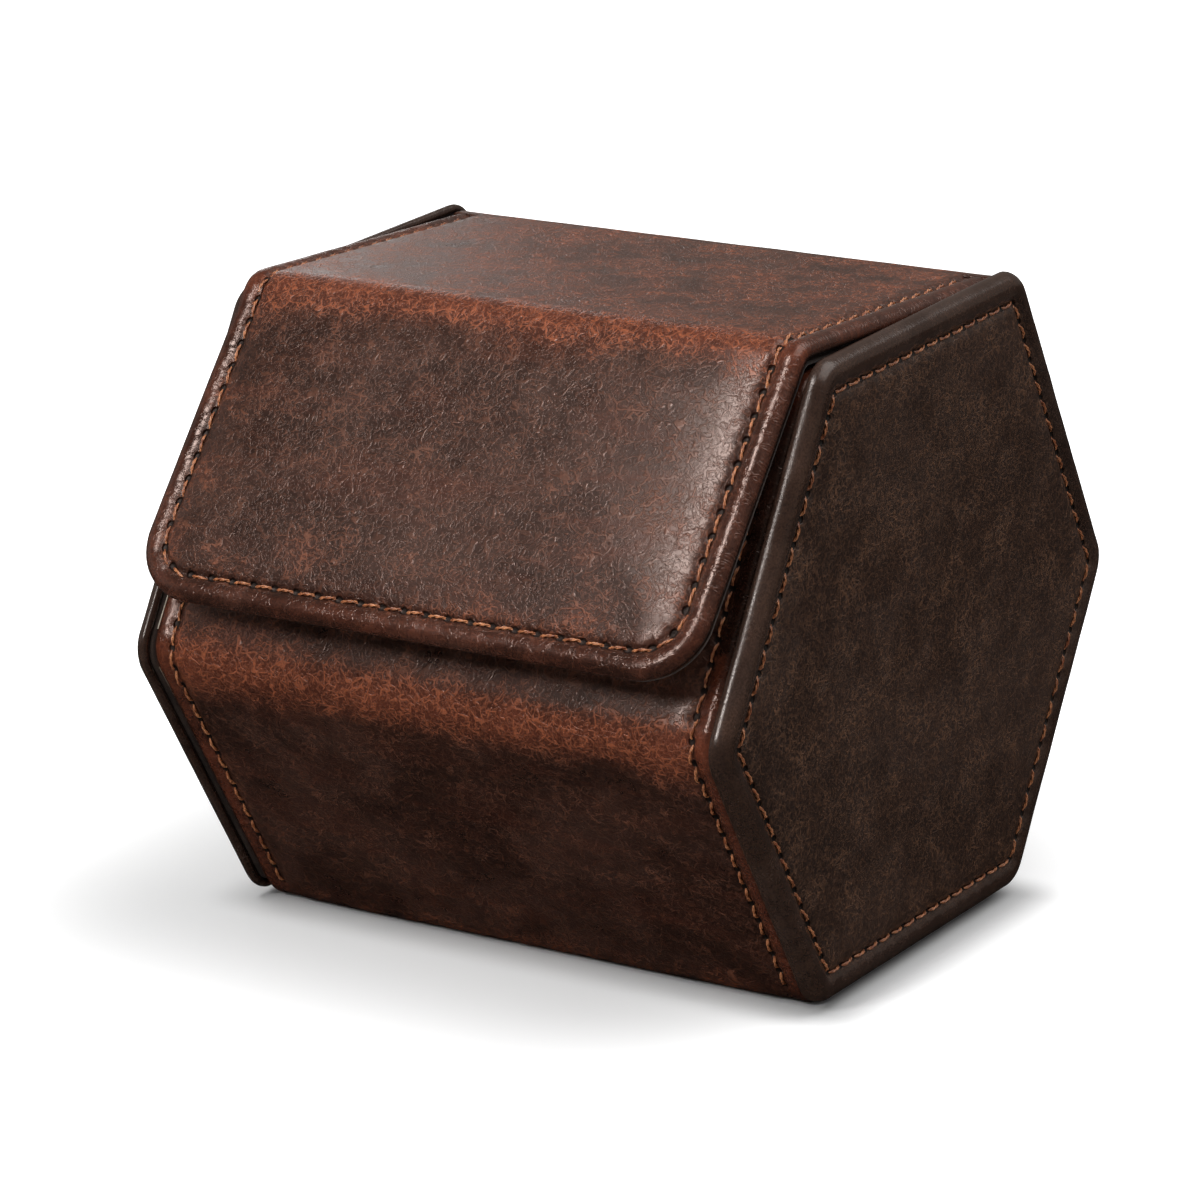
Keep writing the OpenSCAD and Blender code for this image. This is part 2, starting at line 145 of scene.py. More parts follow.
half = case["panelFlat"] / 2
panelMiddle = np.array([0, case["sideHeight"]])
panelOutline = np.array([
    [half, panelHeight], [-half, panelHeight], [-panelHalfWidth, case["sideHeight"]],
    [-half, 0], [half, 0], [panelHalfWidth, case["sideHeight"]],
])
bodyLines = panelOutline.copy()
bodyLines[0][1] -= case["topFall"]
bodyLines[1] += [case["frontLean"], -case["frontLean"] * case["topFall"] / case["panelFlat"]]
inset = case["bodyInset"]
bodyOutline = insetOutline(bodyLines, [case["topInset"], inset, inset, 0, inset, inset])
topSlope = math.degrees(math.atan2(case["topFall"], case["panelFlat"]))
panelShape = insetOutline(panelOutline, case["panelTrim"])
panelShape[1] += case["panelFrontCorner"]
frontWall = bodyLines[1] - bodyLines[2]
frontAngle = math.degrees(math.atan2(frontWall[1], frontWall[0])) - case["flapStandOff"]


def softNoise(spot, size, seed=0):
    return noise.noise(Vector(spot) / size + Vector((seed * 7.3, seed * 3.1, seed * 11.7)))


def newObject(name, data):
    obj = bpy.data.objects.new(name, data)
    scene.collection.objects.link(obj)
    return obj


def addField(mesh, name, values):
    values = np.array(values, np.float32)
    kind, key = ("FLOAT_VECTOR", "vector") if values.ndim == 2 else ("FLOAT", "value")
    mesh.attributes.new(name, kind, "POINT").data.foreach_set(key, values.ravel())


def makeMesh(name, points, faces, material, stitches=None, turnsOver=None, **fields):
    # stitches is one (stitch number, distance from the seam) for each point
    mesh = bpy.data.meshes.new(name)
    mesh.from_pydata((np.array(points, float) * mm).tolist(), [], faces)
    for field, values in fields.items():
        addField(mesh, field, values)
    if stitches is not None:
        layer = mesh.uv_layers.new(name="stitches")
        for polygon in mesh.polygons:
            spots = [list(stitches[v]) for v in polygon.vertices]
            most = max(s[0] for s in spots)
            for loop, spot in zip(polygon.loop_indices, spots):
                if turnsOver and most - spot[0] > turnsOver / 2:
                    spot[0] += turnsOver
                layer.data[loop].uv = spot
    obj = newObject(name, mesh)
    mesh.materials.append(material)
    mesh.polygons.foreach_set("use_smooth", [True] * len(mesh.polygons))
    return obj


def newSkin():
    # what leather needs at each point, in the order of addPoint
    return {"point": [], "mark": [], "grain": [], "wear": [], "bead": [], "creviceShade": []}


def addPoint(skin, point, mark, grain, wear=0, bead=False, creviceShade=False):
    for key, value in zip(skin, (point, mark, grain, wear, bead, creviceShade)):
        skin[key].append(value)


def skinMesh(name, skin, faces, material, turnsOver=None):
    fields = {key: skin[key] for key in ("grain", "wear", "bead", "creviceShade")}
    return makeMesh(name, skin["point"], faces, material, skin["mark"], turnsOver, **fields)


def modify(obj, kind, **settings):
    modifier = obj.modifiers.new(kind.title(), kind)
    for key, value in settings.items():
        setattr(modifier, key, value)
    return modifier


def applyAll(obj):
    # the piece as its modifiers leave it, with none of them kept
    depsgraph = bpy.context.evaluated_depsgraph_get()
    mesh = bpy.data.meshes.new_from_object(obj.evaluated_get(depsgraph), depsgraph=depsgraph)
    mesh.name = obj.name
    obj.modifiers.clear()
    obj.data = mesh
    return obj


def faceOut(obj):
    build = bmesh.new()
    build.from_mesh(obj.data)
    bmesh.ops.recalc_face_normals(build, faces=build.faces)
    build.to_mesh(obj.data)
    build.free()
    return obj


def thicken(obj, thickness):
    # a wall inside the sheet
    modify(obj, "SOLIDIFY", thickness=thickness * mm, offset=-1)
    return faceOut(applyAll(obj))


def gridFaces(index, skip=None, closed=False):
    # quads over a table of point numbers, rows by columns
    rows, columns = index.shape
    faces = []
    for j in range(rows if closed else rows - 1):
        for i in range(columns - 1):
            if skip and skip(j, i):
                continue
            k = (j + 1) % rows
            corners = [index[j, i], index[j, i + 1], index[k, i + 1], index[k, i]]
            corners = list(dict.fromkeys(int(c) for c in corners))
            if len(corners) > 2:
                faces.append(corners)
    return faces


def closeRings(index):
    return np.concatenate([index, index[:, :1]], axis=1)


def tubeFaces(count, columns, closed=False):
    # the table and faces of rings of so many points, each closed on itself
    index = closeRings(np.arange(count).reshape(-1, columns))
    return index, gridFaces(index, closed=closed)


def fan(row, tip):
    return [[int(a), int(b), tip] for a, b in zip(row, row[1:])]


def treeOf(values):
    return next(v.id_data for v in values if isinstance(v, bpy.types.NodeSocket))


def addNode(tree, kind, inputs=None, **settings):
    made = tree.nodes.new(kind)
    for key, value in settings.items():
        setattr(made, key, value)
    for key, value in (inputs or {}).items():
        if isinstance(value, bpy.types.NodeSocket):
            tree.links.new(value, made.inputs[key])
        else:
            made.inputs[key].default_value = value
    return made


def calc(operation, *values, clamp=False):
    settings = {"operation": operation, "use_clamp": clamp}
    return addNode(treeOf(values), "ShaderNodeMath", dict(enumerate(values)), **settings).outputs[0]


def times(first, second):
    return calc("MULTIPLY", first, second)


def plus(first, second, clamp=False):
    return calc("ADD", first, second, clamp=clamp)


def minus(first, second):
    return calc("SUBTRACT", first, second)


def vectorCalc(operation, *values, output=0):
    kind = "ShaderNodeVectorMath"
    return addNode(treeOf(values), kind, dict(enumerate(values)), operation=operation).outputs[output]


def scaled(vector, scale):
    inputs = {0: vector, "Scale": scale}
    return addNode(vector.id_data, "ShaderNodeVectorMath", inputs, operation="SCALE").outputs[0]


def asVector(x=0.0, y=0.0, z=0.0):
    return addNode(treeOf((x, y, z)), "ShaderNodeCombineXYZ", {0: x, 1: y, 2: z}).outputs[0]


def rise(value, low, high, start=0.0, end=1.0):
    # a smooth step of value between low and high
    inputs = {"Value": value, "From Min": low, "From Max": high, "To Min": start, "To Max": end}
    step = addNode(value.id_data, "ShaderNodeMapRange", inputs, interpolation_type="SMOOTHSTEP")
    return step.outputs["Result"]


def cloud(vector, scale, detail=2.0, roughness=0.5, distortion=0.0, output="Fac"):
    inputs = {"Vector": vector, "Scale": scale, "Detail": detail, "Roughness": roughness}
    inputs["Distortion"] = distortion
    return addNode(vector.id_data, "ShaderNodeTexNoise", inputs).outputs[output]


def mixed(factor, first, second, blend="MIX"):
    values = {0: factor, 6: first, 7: second}
    tree = treeOf(values.values())
    return addNode(tree, "ShaderNodeMix", values, data_type="RGBA", blend_type=blend).outputs[2]


def readField(tree, name, output="Fac"):
    return addNode(tree, "ShaderNodeAttribute", attribute_name=name).outputs[output]


def newGroup(name, inputs, outputs, kind="ShaderNodeTree"):
    # inputs are (name, type, value), outputs are (name, type)
    group = bpy.data.node_groups.new(name, kind)
    for socketName, socketKind, value in inputs:
        socket = group.interface.new_socket(
            socketName, in_out="INPUT", socket_type="NodeSocket" + socketKind
        )
        if value is not None:
            socket.default_value = value
    for socketName, socketKind in outputs:
        group.interface.new_socket(socketName, in_out="OUTPUT", socket_type="NodeSocket" + socketKind)
    return group, group.nodes.new("NodeGroupInput").outputs, group.nodes.new("NodeGroupOutput").inputs


def useGroup(tree, group, inputs):
    return addNode(tree, "ShaderNodeGroup", inputs, node_tree=group).outputs


def srgb(red, green, blue):
    # a colour as a screen shows it, from 0 to 255
    def linear(c):
        c = c / 255
        return c / 12.92 if c <= 0.04045 else ((c + 0.055) / 1.055) ** 2.4
    return (linear(red), linear(green), linear(blue), 1.0)


def buildCreaseGroup():
    # short curling creases: a warped net of cell edges and nested contour lines, both
    # broken into strokes by patches
    group, source, sink = newGroup(
        "Leather creases",
        [("Vector", "Vector", None), ("Size", "Float", 2.4), ("Warp", "Float", 0.6),
         ("Width", "Float", 0.047)],
        [("Lines", "Float")],
    )
    spot = scaled(source["Vector"], calc("DIVIDE", 1.0, source["Size"]))
    bent = spot
    for scale, share in ((0.8, 1.0), (1.9, 0.3)):
        pull = vectorCalc("SUBTRACT", cloud(spot, scale, 0.0, output="Color"), (0.5, 0.5, 0.5))
        bent = vectorCalc("ADD", bent, scaled(pull, times(source["Warp"], share)))
    layers = []
    for shift, scale in (((0, 0, 0), 1.0), ((31, 17, 5), 1.7)):
        net = addNode(
            group, "ShaderNodeTexVoronoi", {"Vector": vectorCalc("ADD", bent, shift), "Scale": scale},
            feature="DISTANCE_TO_EDGE",
        ).outputs["Distance"]
        wide = times(source["Width"], scale)
        line = rise(net, times(wide, 0.5), times(wide, 1.3), 1.0, 0.0)
        patch = cloud(vectorCalc("ADD", spot, shift), 1.3 * scale, 0.0)
        layers.append(times(line, rise(patch, 0.5, 0.56)))
    level = cloud(vectorCalc("ADD", bent, (7, 53, 9)), 0.42, 0.0)
    wave = times(calc("PINGPONG", times(level, 8.0), 0.5), 2.0)
    patch = cloud(vectorCalc("ADD", spot, (3, 5, 70)), 0.5, 0.0)
    nested = times(rise(wave, 0.8, 0.98), rise(patch, 0.52, 0.6))
    group.links.new(calc("MAXIMUM", calc("MAXIMUM", *layers), nested), sink["Lines"])
    return group


def buildHideGroup():
    # large patches, small clouds, pores and streaks of the hide
    group, source, sink = newGroup(
        "Hide", [("Vector", "Vector", None)],
        [(name, "Float") for name in ("Patches", "Clouds", "Pores", "Streaks")],
    )
    spot = source["Vector"]
    masks = {
        "Patches": cloud(spot, 0.045, 4.0, 0.6, 0.4),
        "Clouds": cloud(vectorCalc("ADD", spot, (40, 90, 10)), 0.16, 5.0, 0.62, 0.3),
        "Pores": cloud(spot, 3.2, 2.0, 0.6),
        "Streaks": cloud(vectorCalc("MULTIPLY", spot, (0.05, 0.2, 0.1)), 1.0, 3.0, 0.6, 0.8),
    }
    for name, mask in masks.items():
        group.links.new(mask, sink[name])
    return group


def buildStitchGroup():
    # needle holes, and the puckers and wrinkles that the thread pulls, from the stitch
    # count and the distance to the seam
    group, source, sink = newGroup(
        "Stitch marks",
        [("Pitch", "Float", case["stitchPitch"]), ("Hole", "Float", 0.68), ("Reach", "Float", 2.2)],
        [(name, "Float") for name in ("Holes", "Pucker", "SeamShade", "Wrinkles")],
    )
    mark = addNode(group, "ShaderNodeUVMap", uv_map="stitches").outputs[0]
    count, away = addNode(group, "ShaderNodeSeparateXYZ", {0: mark}).outputs[:2]
    offHole = minus(calc("FRACT", plus(count, 0.5)), 0.5)
    along = calc("ABSOLUTE", times(offHole, source["Pitch"]))
    side = calc("ABSOLUTE", away)
    oval = [
        calc("POWER", calc("DIVIDE", far, times(source["Hole"], stretch)), 2.0)
        for far, stretch in ((along, 1.15), (side, 0.8))
    ]
    fold = rise(minus(along, times(side, 0.22)), 0.0, 0.75, -1.0, 0.0)
    ridge = cloud(asVector(times(count, 1.3), times(away, 0.3)), 1.0, 3.0, 0.65, 0.3)
    ridge = rise(calc("ABSOLUTE", minus(ridge, 0.5)), 0.0, 0.045, 1.0, 0.0)
    bead = times(rise(away, -0.9, -0.35, 1.0, 0.0), rise(away, -6.0, -5.0))
    masks = {
        "Holes": rise(calc("SQRT", plus(*oval)), 0.6, 1.05, 1.0, 0.0),
        "Pucker": times(fold, rise(side, 0.2, source["Reach"], 1.0, 0.0)),
        # the strip beside the seam, which the leather paints darker as shade in the seam's groove
        "SeamShade": rise(side, 0.25, 0.9, 1.0, 0.0),
        "Wrinkles": times(ridge, bead),
    }
    for name, mask in masks.items():
        group.links.new(mask, sink[name])
    return group


creaseGroup = buildCreaseGroup()
hideGroup = buildHideGroup()
stitchGroup = buildStitchGroup()

brownLook = {
    "field": srgb(43, 24, 18),
    "grey": srgb(63, 42, 35),
    "brown": srgb(80, 41, 29),
    "worn": srgb(104, 52, 35),
    "fieldLine": srgb(128, 80, 59),
    "wornLine": srgb(166, 92, 60),
    "creaseSize": 2.0,
    "fineSize": 0.9,
    "creaseDepth": 0.068,
    "poreDepth": 0.01,
    "dentDepth": 0.015,
    "puckerDepth": 0.1,
    "wrinkleDepth": 0.02,
    "wrinkleShare": 0.2,
    "lineShare": (0.54, 0.8),
    "streaks": 0.5,
    "beadGloss": 0.06,
    "roughness": (0.27, 0.34),
    "gloss": 0.72,
    "tint": srgb(255, 226, 214),
}
darkLook = {
    "field": srgb(50, 35, 29),
    "grey": srgb(62, 47, 41),
    "brown": srgb(67, 46, 36),
    "worn": srgb(70, 55, 48),
    "fieldLine": srgb(136, 95, 68),
    "wornLine": srgb(118, 88, 68),
    "creaseSize": 1.55,
    "fineSize": 0.8,
    "creaseDepth": 0.04,
    "poreDepth": 0.014,
    "dentDepth": 0.012,
    "puckerDepth": 0.06,
    "wrinkleDepth": 0.008,
    "wrinkleShare": 0.05,
    "lineShare": (0.6, 0.6),
    "streaks": 0.45,
    "beadGloss": 0.1,
    "roughness": (0.3, 0.37),
    "gloss": 0.6,
    "tint": srgb(255, 244, 238),
}
# the same in both leathers
leatherMarks = {
    "beadSmooth": 0.85,
    "fineLines": 0.5,
    # painted shade in the seam's groove
    "seamGrooveShade": srgb(30, 17, 12),
    # painted shade inside the needle holes
    "hole": srgb(8, 5, 4),
    "holeDepth": -0.35,
    # painted shade for the crevices where leather edges turn under and meet
    "creviceShade": srgb(10, 7, 6),
}


def newMaterial(name):
    material = bpy.data.materials.new(name)
    material.use_nodes = True
    return material, material.node_tree, material.node_tree.nodes["Principled BSDF"]


def finishSurface(tree, shader, colour, rough, height):
    # height is in millimetres
    bump = addNode(tree, "ShaderNodeBump", {"Height": height, "Distance": mm, "Strength": 1.0})
    for name, value in (("Base Color", colour), ("Roughness", rough), ("Normal", bump.outputs[0])):
        tree.links.new(value, shader.inputs[name])


def leather(name, look):
    material, tree, shader = newMaterial(name)
    spot = readField(tree, "grain", "Vector")
    wear, bead, creviceShade = (readField(tree, field) for field in ("wear", "bead", "creviceShade"))
    hide = useGroup(tree, hideGroup, {"Vector": spot})
    marks = useGroup(tree, stitchGroup, {"Pitch": case["stitchPitch"]})
    coarse = useGroup(tree, creaseGroup, {"Vector": spot, "Size": look["creaseSize"]})["Lines"]
    beside = vectorCalc("ADD", spot, (13, 29, 3))
    fineSizes = {"Vector": beside, "Size": look["fineSize"], "Width": 0.08, "Warp": 0.7}
    fine = useGroup(tree, creaseGroup, fineSizes)["Lines"]
    clouds = hide["Clouds"]
    ragged = minus(clouds, 0.5)
    warm = rise(plus(wear, times(ragged, 1.1)), 0.05, 0.7)
    worn = rise(plus(wear, times(ragged, 1.7)), 0.5, 1.2)
    patches = rise(plus(hide["Patches"], times(ragged, 0.5)), 0.4, 0.62)
    base = mixed(patches, look["field"], look["grey"])
    base = mixed(rise(hide["Streaks"], 0.45, 0.75, 0.0, look["streaks"]), base, look["brown"])
    base = mixed(times(warm, 0.85), base, look["brown"])
    base = mixed(worn, base, look["worn"])
    spread = rise(plus(clouds, times(warm, 0.18)), 0.4, 0.66, 0.4, 1.0)
    spread = times(spread, minus(1.0, times(bead, leatherMarks["beadSmooth"])))
    lines = times(calc("MAXIMUM", coarse, times(fine, leatherMarks["fineLines"])), spread)
    lines = calc("MAXIMUM", lines, times(marks["Wrinkles"], look["wrinkleShare"]))
    lineColour = mixed(warm, look["fieldLine"], look["wornLine"])
    base = mixed(times(lines, rise(warm, 0.0, 1.0, *look["lineShare"])), base, lineColour)
    dusk = rise(hide["Pores"], 0.3, 0.7, 0.68, 1.14)
    dusk = addNode(tree, "ShaderNodeCombineColor", {0: dusk, 1: dusk, 2: dusk}).outputs[0]
    base = mixed(1.0, base, dusk, "MULTIPLY")
    # painted shade: darker in the seam's groove beside the stitches
    base = mixed(times(marks["SeamShade"], 0.3), base, leatherMarks["seamGrooveShade"])
    # painted shade: the needle holes nearly black
    base = mixed(marks["Holes"], base, leatherMarks["hole"])
    # painted shade: nearly black in the crevices where leather edges turn under and meet
    base = mixed(creviceShade, base, leatherMarks["creviceShade"])
    rough = plus(rise(clouds, 0.3, 0.7, *look["roughness"]), times(lines, 0.06))
    rough = minus(rough, times(bead, look["beadGloss"]))
    rough = plus(rough, times(marks["Holes"], 0.3), clamp=True)
    height = times(lines, look["creaseDepth"])
    for value, depth in (
        (hide["Pores"], look["poreDepth"]), (clouds, look["dentDepth"]),
        (marks["Pucker"], look["puckerDepth"]), (marks["Wrinkles"], look["wrinkleDepth"]),
        (marks["Holes"], leatherMarks["holeDepth"]),
    ):
        height = plus(height, times(value, depth))
    finishSurface(tree, shader, base, rough, height)
    shader.inputs["Specular IOR Level"].default_value = look["gloss"]
    shader.inputs["Specular Tint"].default_value = look["tint"]
    return material


def plainMaterial(name, build, **sockets):
    # build returns the colour, roughness and height (in millimetres) of a finish
    material, tree, shader = newMaterial(name)
    where = addNode(tree, "ShaderNodeTexCoord").outputs["Object"]
    finishSurface(tree, shader, *build(scaled(where, float(perMetre))))
    for socket, value in sockets.items():
        shader.inputs[socket.replace("_", " ")].default_value = value
    return material


def threadFinish(spot):
    fibre = cloud(spot, 9.0, 2.0, 0.7)
    colour = mixed(rise(cloud(spot, 1.1, 3.0), 0.3, 0.7), srgb(146, 78, 44), srgb(226, 150, 100))
    colour = mixed(rise(fibre, 0.35, 0.6, 0.45, 0.0), colour, srgb(84, 42, 24))
    return colour, rise(fibre, 0.3, 0.7, 0.26, 0.42), times(fibre, 0.02)


def velvetFinish(spot):
    pile = cloud(spot, 4.0, 3.0, 0.75)
    nap = readField(spot.id_data, "nap")
    brushed = rise(cloud(spot, 0.16, 3.0, 0.6, 0.6), 0.35, 0.65)
    colour = mixed(brushed, srgb(84, 50, 36), srgb(98, 61, 45))
    # painted highlight where the attribute is above 0, painted shade where it is below
    colour = mixed(rise(nap, 0.0, 1.0), colour, srgb(158, 108, 84))
    colour = mixed(rise(nap, -1.0, 0.0, 0.85, 0.0), colour, srgb(24, 13, 9))
    colour = mixed(rise(pile, 0.35, 0.62, 0.6, 0.0), colour, srgb(40, 22, 15))
    return colour, rise(pile, 0.2, 0.8, 0.8, 0.95), times(pile, 0.12)


def suedeFinish(spot):
    nap = cloud(spot, 6.5, 3.0, 0.7)
    brushed = cloud(vectorCalc("MULTIPLY", spot, (1.0, 0.35, 0.6)), 0.25, 3.0, 0.6)
    colour = mixed(rise(brushed, 0.35, 0.65), srgb(52, 41, 36), srgb(76, 62, 55))
    colour = mixed(rise(nap, 0.35, 0.62, 0.5, 0.0), colour, srgb(30, 23, 20))
    return colour, rise(nap, 0.2, 0.8, 0.82, 0.95), times(nap, 0.08)


def boardFinish(spot):
    fibre = cloud(vectorCalc("MULTIPLY", spot, (0.5, 2.0, 2.0)), 1.4, 4.0, 0.7)
    colour = mixed(rise(fibre, 0.3, 0.7), srgb(150, 140, 124), srgb(184, 175, 160))
    return colour, rise(fibre, 0.2, 0.8, 0.75, 0.9), times(fibre, 0.05)


def foamFinish(spot):
    inputs = {"Vector": spot, "Scale": 1.6}
    cells = addNode(spot.id_data, "ShaderNodeTexVoronoi", inputs).outputs["Distance"]
    colour = mixed(rise(cells, 0.1, 0.6), srgb(232, 222, 205), srgb(196, 184, 164))
    return colour, rise(cells, 0.0, 1.0, 0.85, 0.95), times(cells, 0.2)


def magnetFinish(spot):
    turning = cloud(vectorCalc("MULTIPLY", spot, (0.3, 6.0, 6.0)), 1.5, 2.0)
    colour = mixed(rise(turning, 0.3, 0.7), srgb(170, 172, 176), srgb(205, 206, 210))
    return colour, rise(turning, 0.2, 0.8, 0.25, 0.4), times(turning, 0.004)


brownLeather = leather("Brown pull-up leather", brownLook)
darkLeather = leather("Dark leather", darkLook)
threadCopper = plainMaterial("Copper thread", threadFinish, Specular_IOR_Level=0.8)
velvet = plainMaterial(
    "Brown velvet", velvetFinish, Sheen_Weight=0.35, Sheen_Roughness=0.4,
    Sheen_Tint=srgb(200, 150, 125), Specular_IOR_Level=0.2,
)
suede = plainMaterial("Dark suede", suedeFinish, Sheen_Weight=0.2, Specular_IOR_Level=0.2)
boardGrey = plainMaterial("Grey board", boardFinish)
foamPale = plainMaterial("Pale foam", foamFinish)
magnetSteel = plainMaterial("Nickel plate", magnetFinish, Metallic=1.0)
print("materials made")


def buildStitchTree():
    # a two-ply thread, one arched stitch after another along each seam
    tree, size, sink = newGroup(
        "Stitch row",
        [("Geometry", "Geometry", None), ("Pitch", "Float", 0.0034), ("Length", "Float", 0.00255),
         ("Ply", "Float", 0.00011), ("Arch", "Float", 0.00045), ("Slant", "Float", 0.09),
         ("Seed", "Int", 3), ("Thread", "Material", None)],
        [("Geometry", "Geometry")], "GeometryNodeTree",
    )

    def onward(kind, geometry, inputs=None, **settings):
        made = addNode(tree, "GeometryNode" + kind, {0: geometry, **(inputs or {})}, **settings)
        return made.outputs[0]

    def read(kind, inputs=None, output=0, **settings):
        return addNode(tree, kind, inputs, **settings).outputs[output]

    # one stitch along X, its ends diving into their holes
    ply = size["Ply"]
    winding = {"Resolution": 5, "Rotations": 1.25, "Height": size["Length"]}
    helix = read("GeometryNodeCurveSpiral", {**winding, "Start Radius": ply, "End Radius": ply})
    laid = onward("Transform", helix, {"Rotation": (0.0, math.pi / 2, 0.0)})
    centred = onward("Transform", laid, {"Translation": asVector(times(size["Length"], -0.5))})
    other = onward("Transform", centred, {"Rotation": (math.pi, 0.0, 0.0)})
    plies = addNode(tree, "GeometryNodeJoinGeometry")
    for strand in (centred, other):
        tree.links.new(strand, plies.inputs[0])
    across = read("ShaderNodeSeparateXYZ", {0: read("GeometryNodeInputPosition")})
    share = calc("DIVIDE", across, times(size["Length"], 0.5))
    dive = times(calc("POWER", calc("ABSOLUTE", share), 3.0), times(size["Arch"], -1.0))
    arched = onward("SetPosition", plies.outputs[0], {"Offset": asVector(z=dive)})
    section = read("GeometryNodeCurvePrimitiveCircle", {"Resolution": 5, "Radius": times(ply, 1.12)})
    stitch = onward("CurveToMesh", arched, {1: section, "Fill Caps": True})

    # the seam lines, with as many stitches as fit
    lines = onward("MeshToCurve", size["Geometry"])
    length = read("GeometryNodeSplineLength", output="Length")
    count = calc("ROUND", calc("DIVIDE", length, size["Pitch"]))
    upward = read("GeometryNodeInputNamedAttribute", {0: "up"}, data_type="FLOAT_VECTOR")
    held = onward("ResampleCurve", lines, {"Count": plus(count, 1.0)}, mode="COUNT")
    align = "FunctionNodeAlignRotationToVector"
    facing = read(align, {"Vector": read("GeometryNodeInputTangent")}, axis="X")
    facing = read(align, {"Rotation": facing, "Vector": upward}, axis="Z", pivot_axis="X")
    last = read("GeometryNodeCurveEndpointSelection", {"Start Size": 0, "End Size": 1})
    keep = addNode(tree, "GeometryNodeCaptureAttribute", {0: held})
    keep.capture_items.new("FLOAT", "Half step")
    tree.links.new(calc("DIVIDE", calc("DIVIDE", length, count), 2.0), keep.inputs["Half step"])
    notLast = read("FunctionNodeBooleanMath", {0: last}, operation="NOT")
    row = onward(
        "InstanceOnPoints", keep.outputs[0],
        {"Selection": notLast, "Instance": stitch, "Rotation": facing},
    )
    row = onward("TranslateInstances", row, {"Translation": asVector(keep.outputs["Half step"])})
    wobble = read(
        "FunctionNodeRandomValue", {2: -0.06, 3: 0.06, "Seed": size["Seed"]}, 1, data_type="FLOAT"
    )
    row = onward("RotateInstances", row, {"Rotation": asVector(z=plus(size["Slant"], wobble))})
    row = onward("SetShadeSmooth", onward("RealizeInstances", row))
    tree.links.new(onward("SetMaterial", row, {"Material": size["Thread"]}), sink[0])
    return tree


stitchTree = buildStitchTree()


def sewSeams(name, seams, **sizes):
    # seams is a list of (points, upward directions), one for each run of stitches
    points = np.concatenate([np.array(line, float) for line, _ in seams])
    edges, first = [], 0
    for line, _ in seams:
        edges += [(first + i, first + i + 1) for i in range(len(line) - 1)]
        first += len(line)
    mesh = bpy.data.meshes.new(name)
    mesh.from_pydata((points * mm).tolist(), edges, [])
    addField(mesh, "up", np.concatenate([np.array(up, float) for _, up in seams]))
    rows = modify(newObject(name, mesh), "NODES", node_group=stitchTree)
    settings = {"Pitch": case["stitchPitch"] * mm, "Thread": threadCopper, **sizes}
    for socket in stitchTree.interface.items_tree:
        if socket.in_out == "INPUT" and socket.name in settings:
            rows[socket.identifier] = settings[socket.name]
    return applyAll(rows.id_data)


panel = {
    "cornerRadius": 5.5,
    "thickness": {1: 1.0, -1: 0.72},
    "seam": 4.2,
    "edgeStep": 0.65,
    "arcSteps": 10,
    # inset from the edge and height over the inner face, from the turned edge inside
    # over the rolled rim to the field
    "back": (1.25, 1.72),
    "section": [
        (1.25, 1.7), (1.2, 0.05), (0.6, 0.04), (0.2, 0.24), (0.02, 0.6), (0.0, 1.0), (0.1, 1.45),
        (0.32, 1.92), (0.66, 2.34), (1.1, 2.66), (1.62, 2.87), (2.2, 2.95), (2.8, 2.88), (3.3, 2.7),
        (3.7, 2.48), (4.0, 2.34), (4.2, 2.3), (4.45, 2.4), (4.8, 2.58), (5.3, 2.72), (6.1, 2.8),
        (7.0, 2.83), (8.2, 2.85), (9.8, 2.87), (12.0, 2.88),
    ],
    "fieldHeight": 2.9,
    "fieldRings": [0.86, 0.7, 0.52, 0.34, 0.18, 0.06],
    "stitchHeight": 2.56,
    "dent": 0.16,
    # inset, height and share of the way out from the middle
    "lining": [
        (1.3, 0.5, 1), (1.3, 0.1, 1), (1.45, -0.08, 1), (1.9, -0.16, 1), (2.8, -0.2, 1),
        (5, -0.22, 1), (9, -0.24, 1), (9, -0.24, 0.7), (9, -0.24, 0.4), (9, -0.24, 0.12),
    ],
    "board": [(1.5, 0.75), (1.35, 0.85), (1.35, 1.55), (1.5, 1.65)],
}


def panelEdgeCounts():
    corners = insetOutline(panelShape, panel["seam"])
    runs = np.linalg.norm(np.roll(corners, -1, axis=0) - corners, axis=1)
    return corners, runs, np.round(runs / case["stitchPitch"])


def panelRing(inset):
    # points round the panel at one inset, with their stitch numbers
    corners = insetOutline(panelShape, inset)
    radius = max(panel["cornerRadius"] - inset, 0.35)
    seamCorners, runs, counts = panelEdgeCounts()
    before = np.concatenate([[0], np.cumsum(counts)])
    steps = np.maximum(2, np.round(runs / panel["edgeStep"])).astype(int)
    arcs = [cornerArc(corners, i, radius, panel["arcSteps"])[0] for i in range(6)]
    ring, numbers = [], []

    def add(point, edge):
        a = seamCorners[edge]
        run = seamCorners[(edge + 1) % 6] - a
        share = np.clip((point - a) @ run / (run @ run), 0, 1)
        ring.append(point)
        numbers.append(before[edge] + share * counts[edge])

    for i in range(6):
        for k, point in enumerate(arcs[i]):
            add(point, i if k >= panel["arcSteps"] / 2 else (i - 1) % 6)
        start, end = arcs[i][-1], arcs[(i + 1) % 6][0]
        for share in np.linspace(0, 1, steps[i] + 1)[1:-1]:
            add(start + (end - start) * share, i)
    return np.array(ring), np.array(numbers), before[-1]


def holePulse(number, away, reach=0.9):
    # 1 at a needle hole, fading between holes and away from the seam
    return (0.5 + 0.5 * np.cos(2 * np.pi * number)) * np.exp(-(away / reach) ** 2)


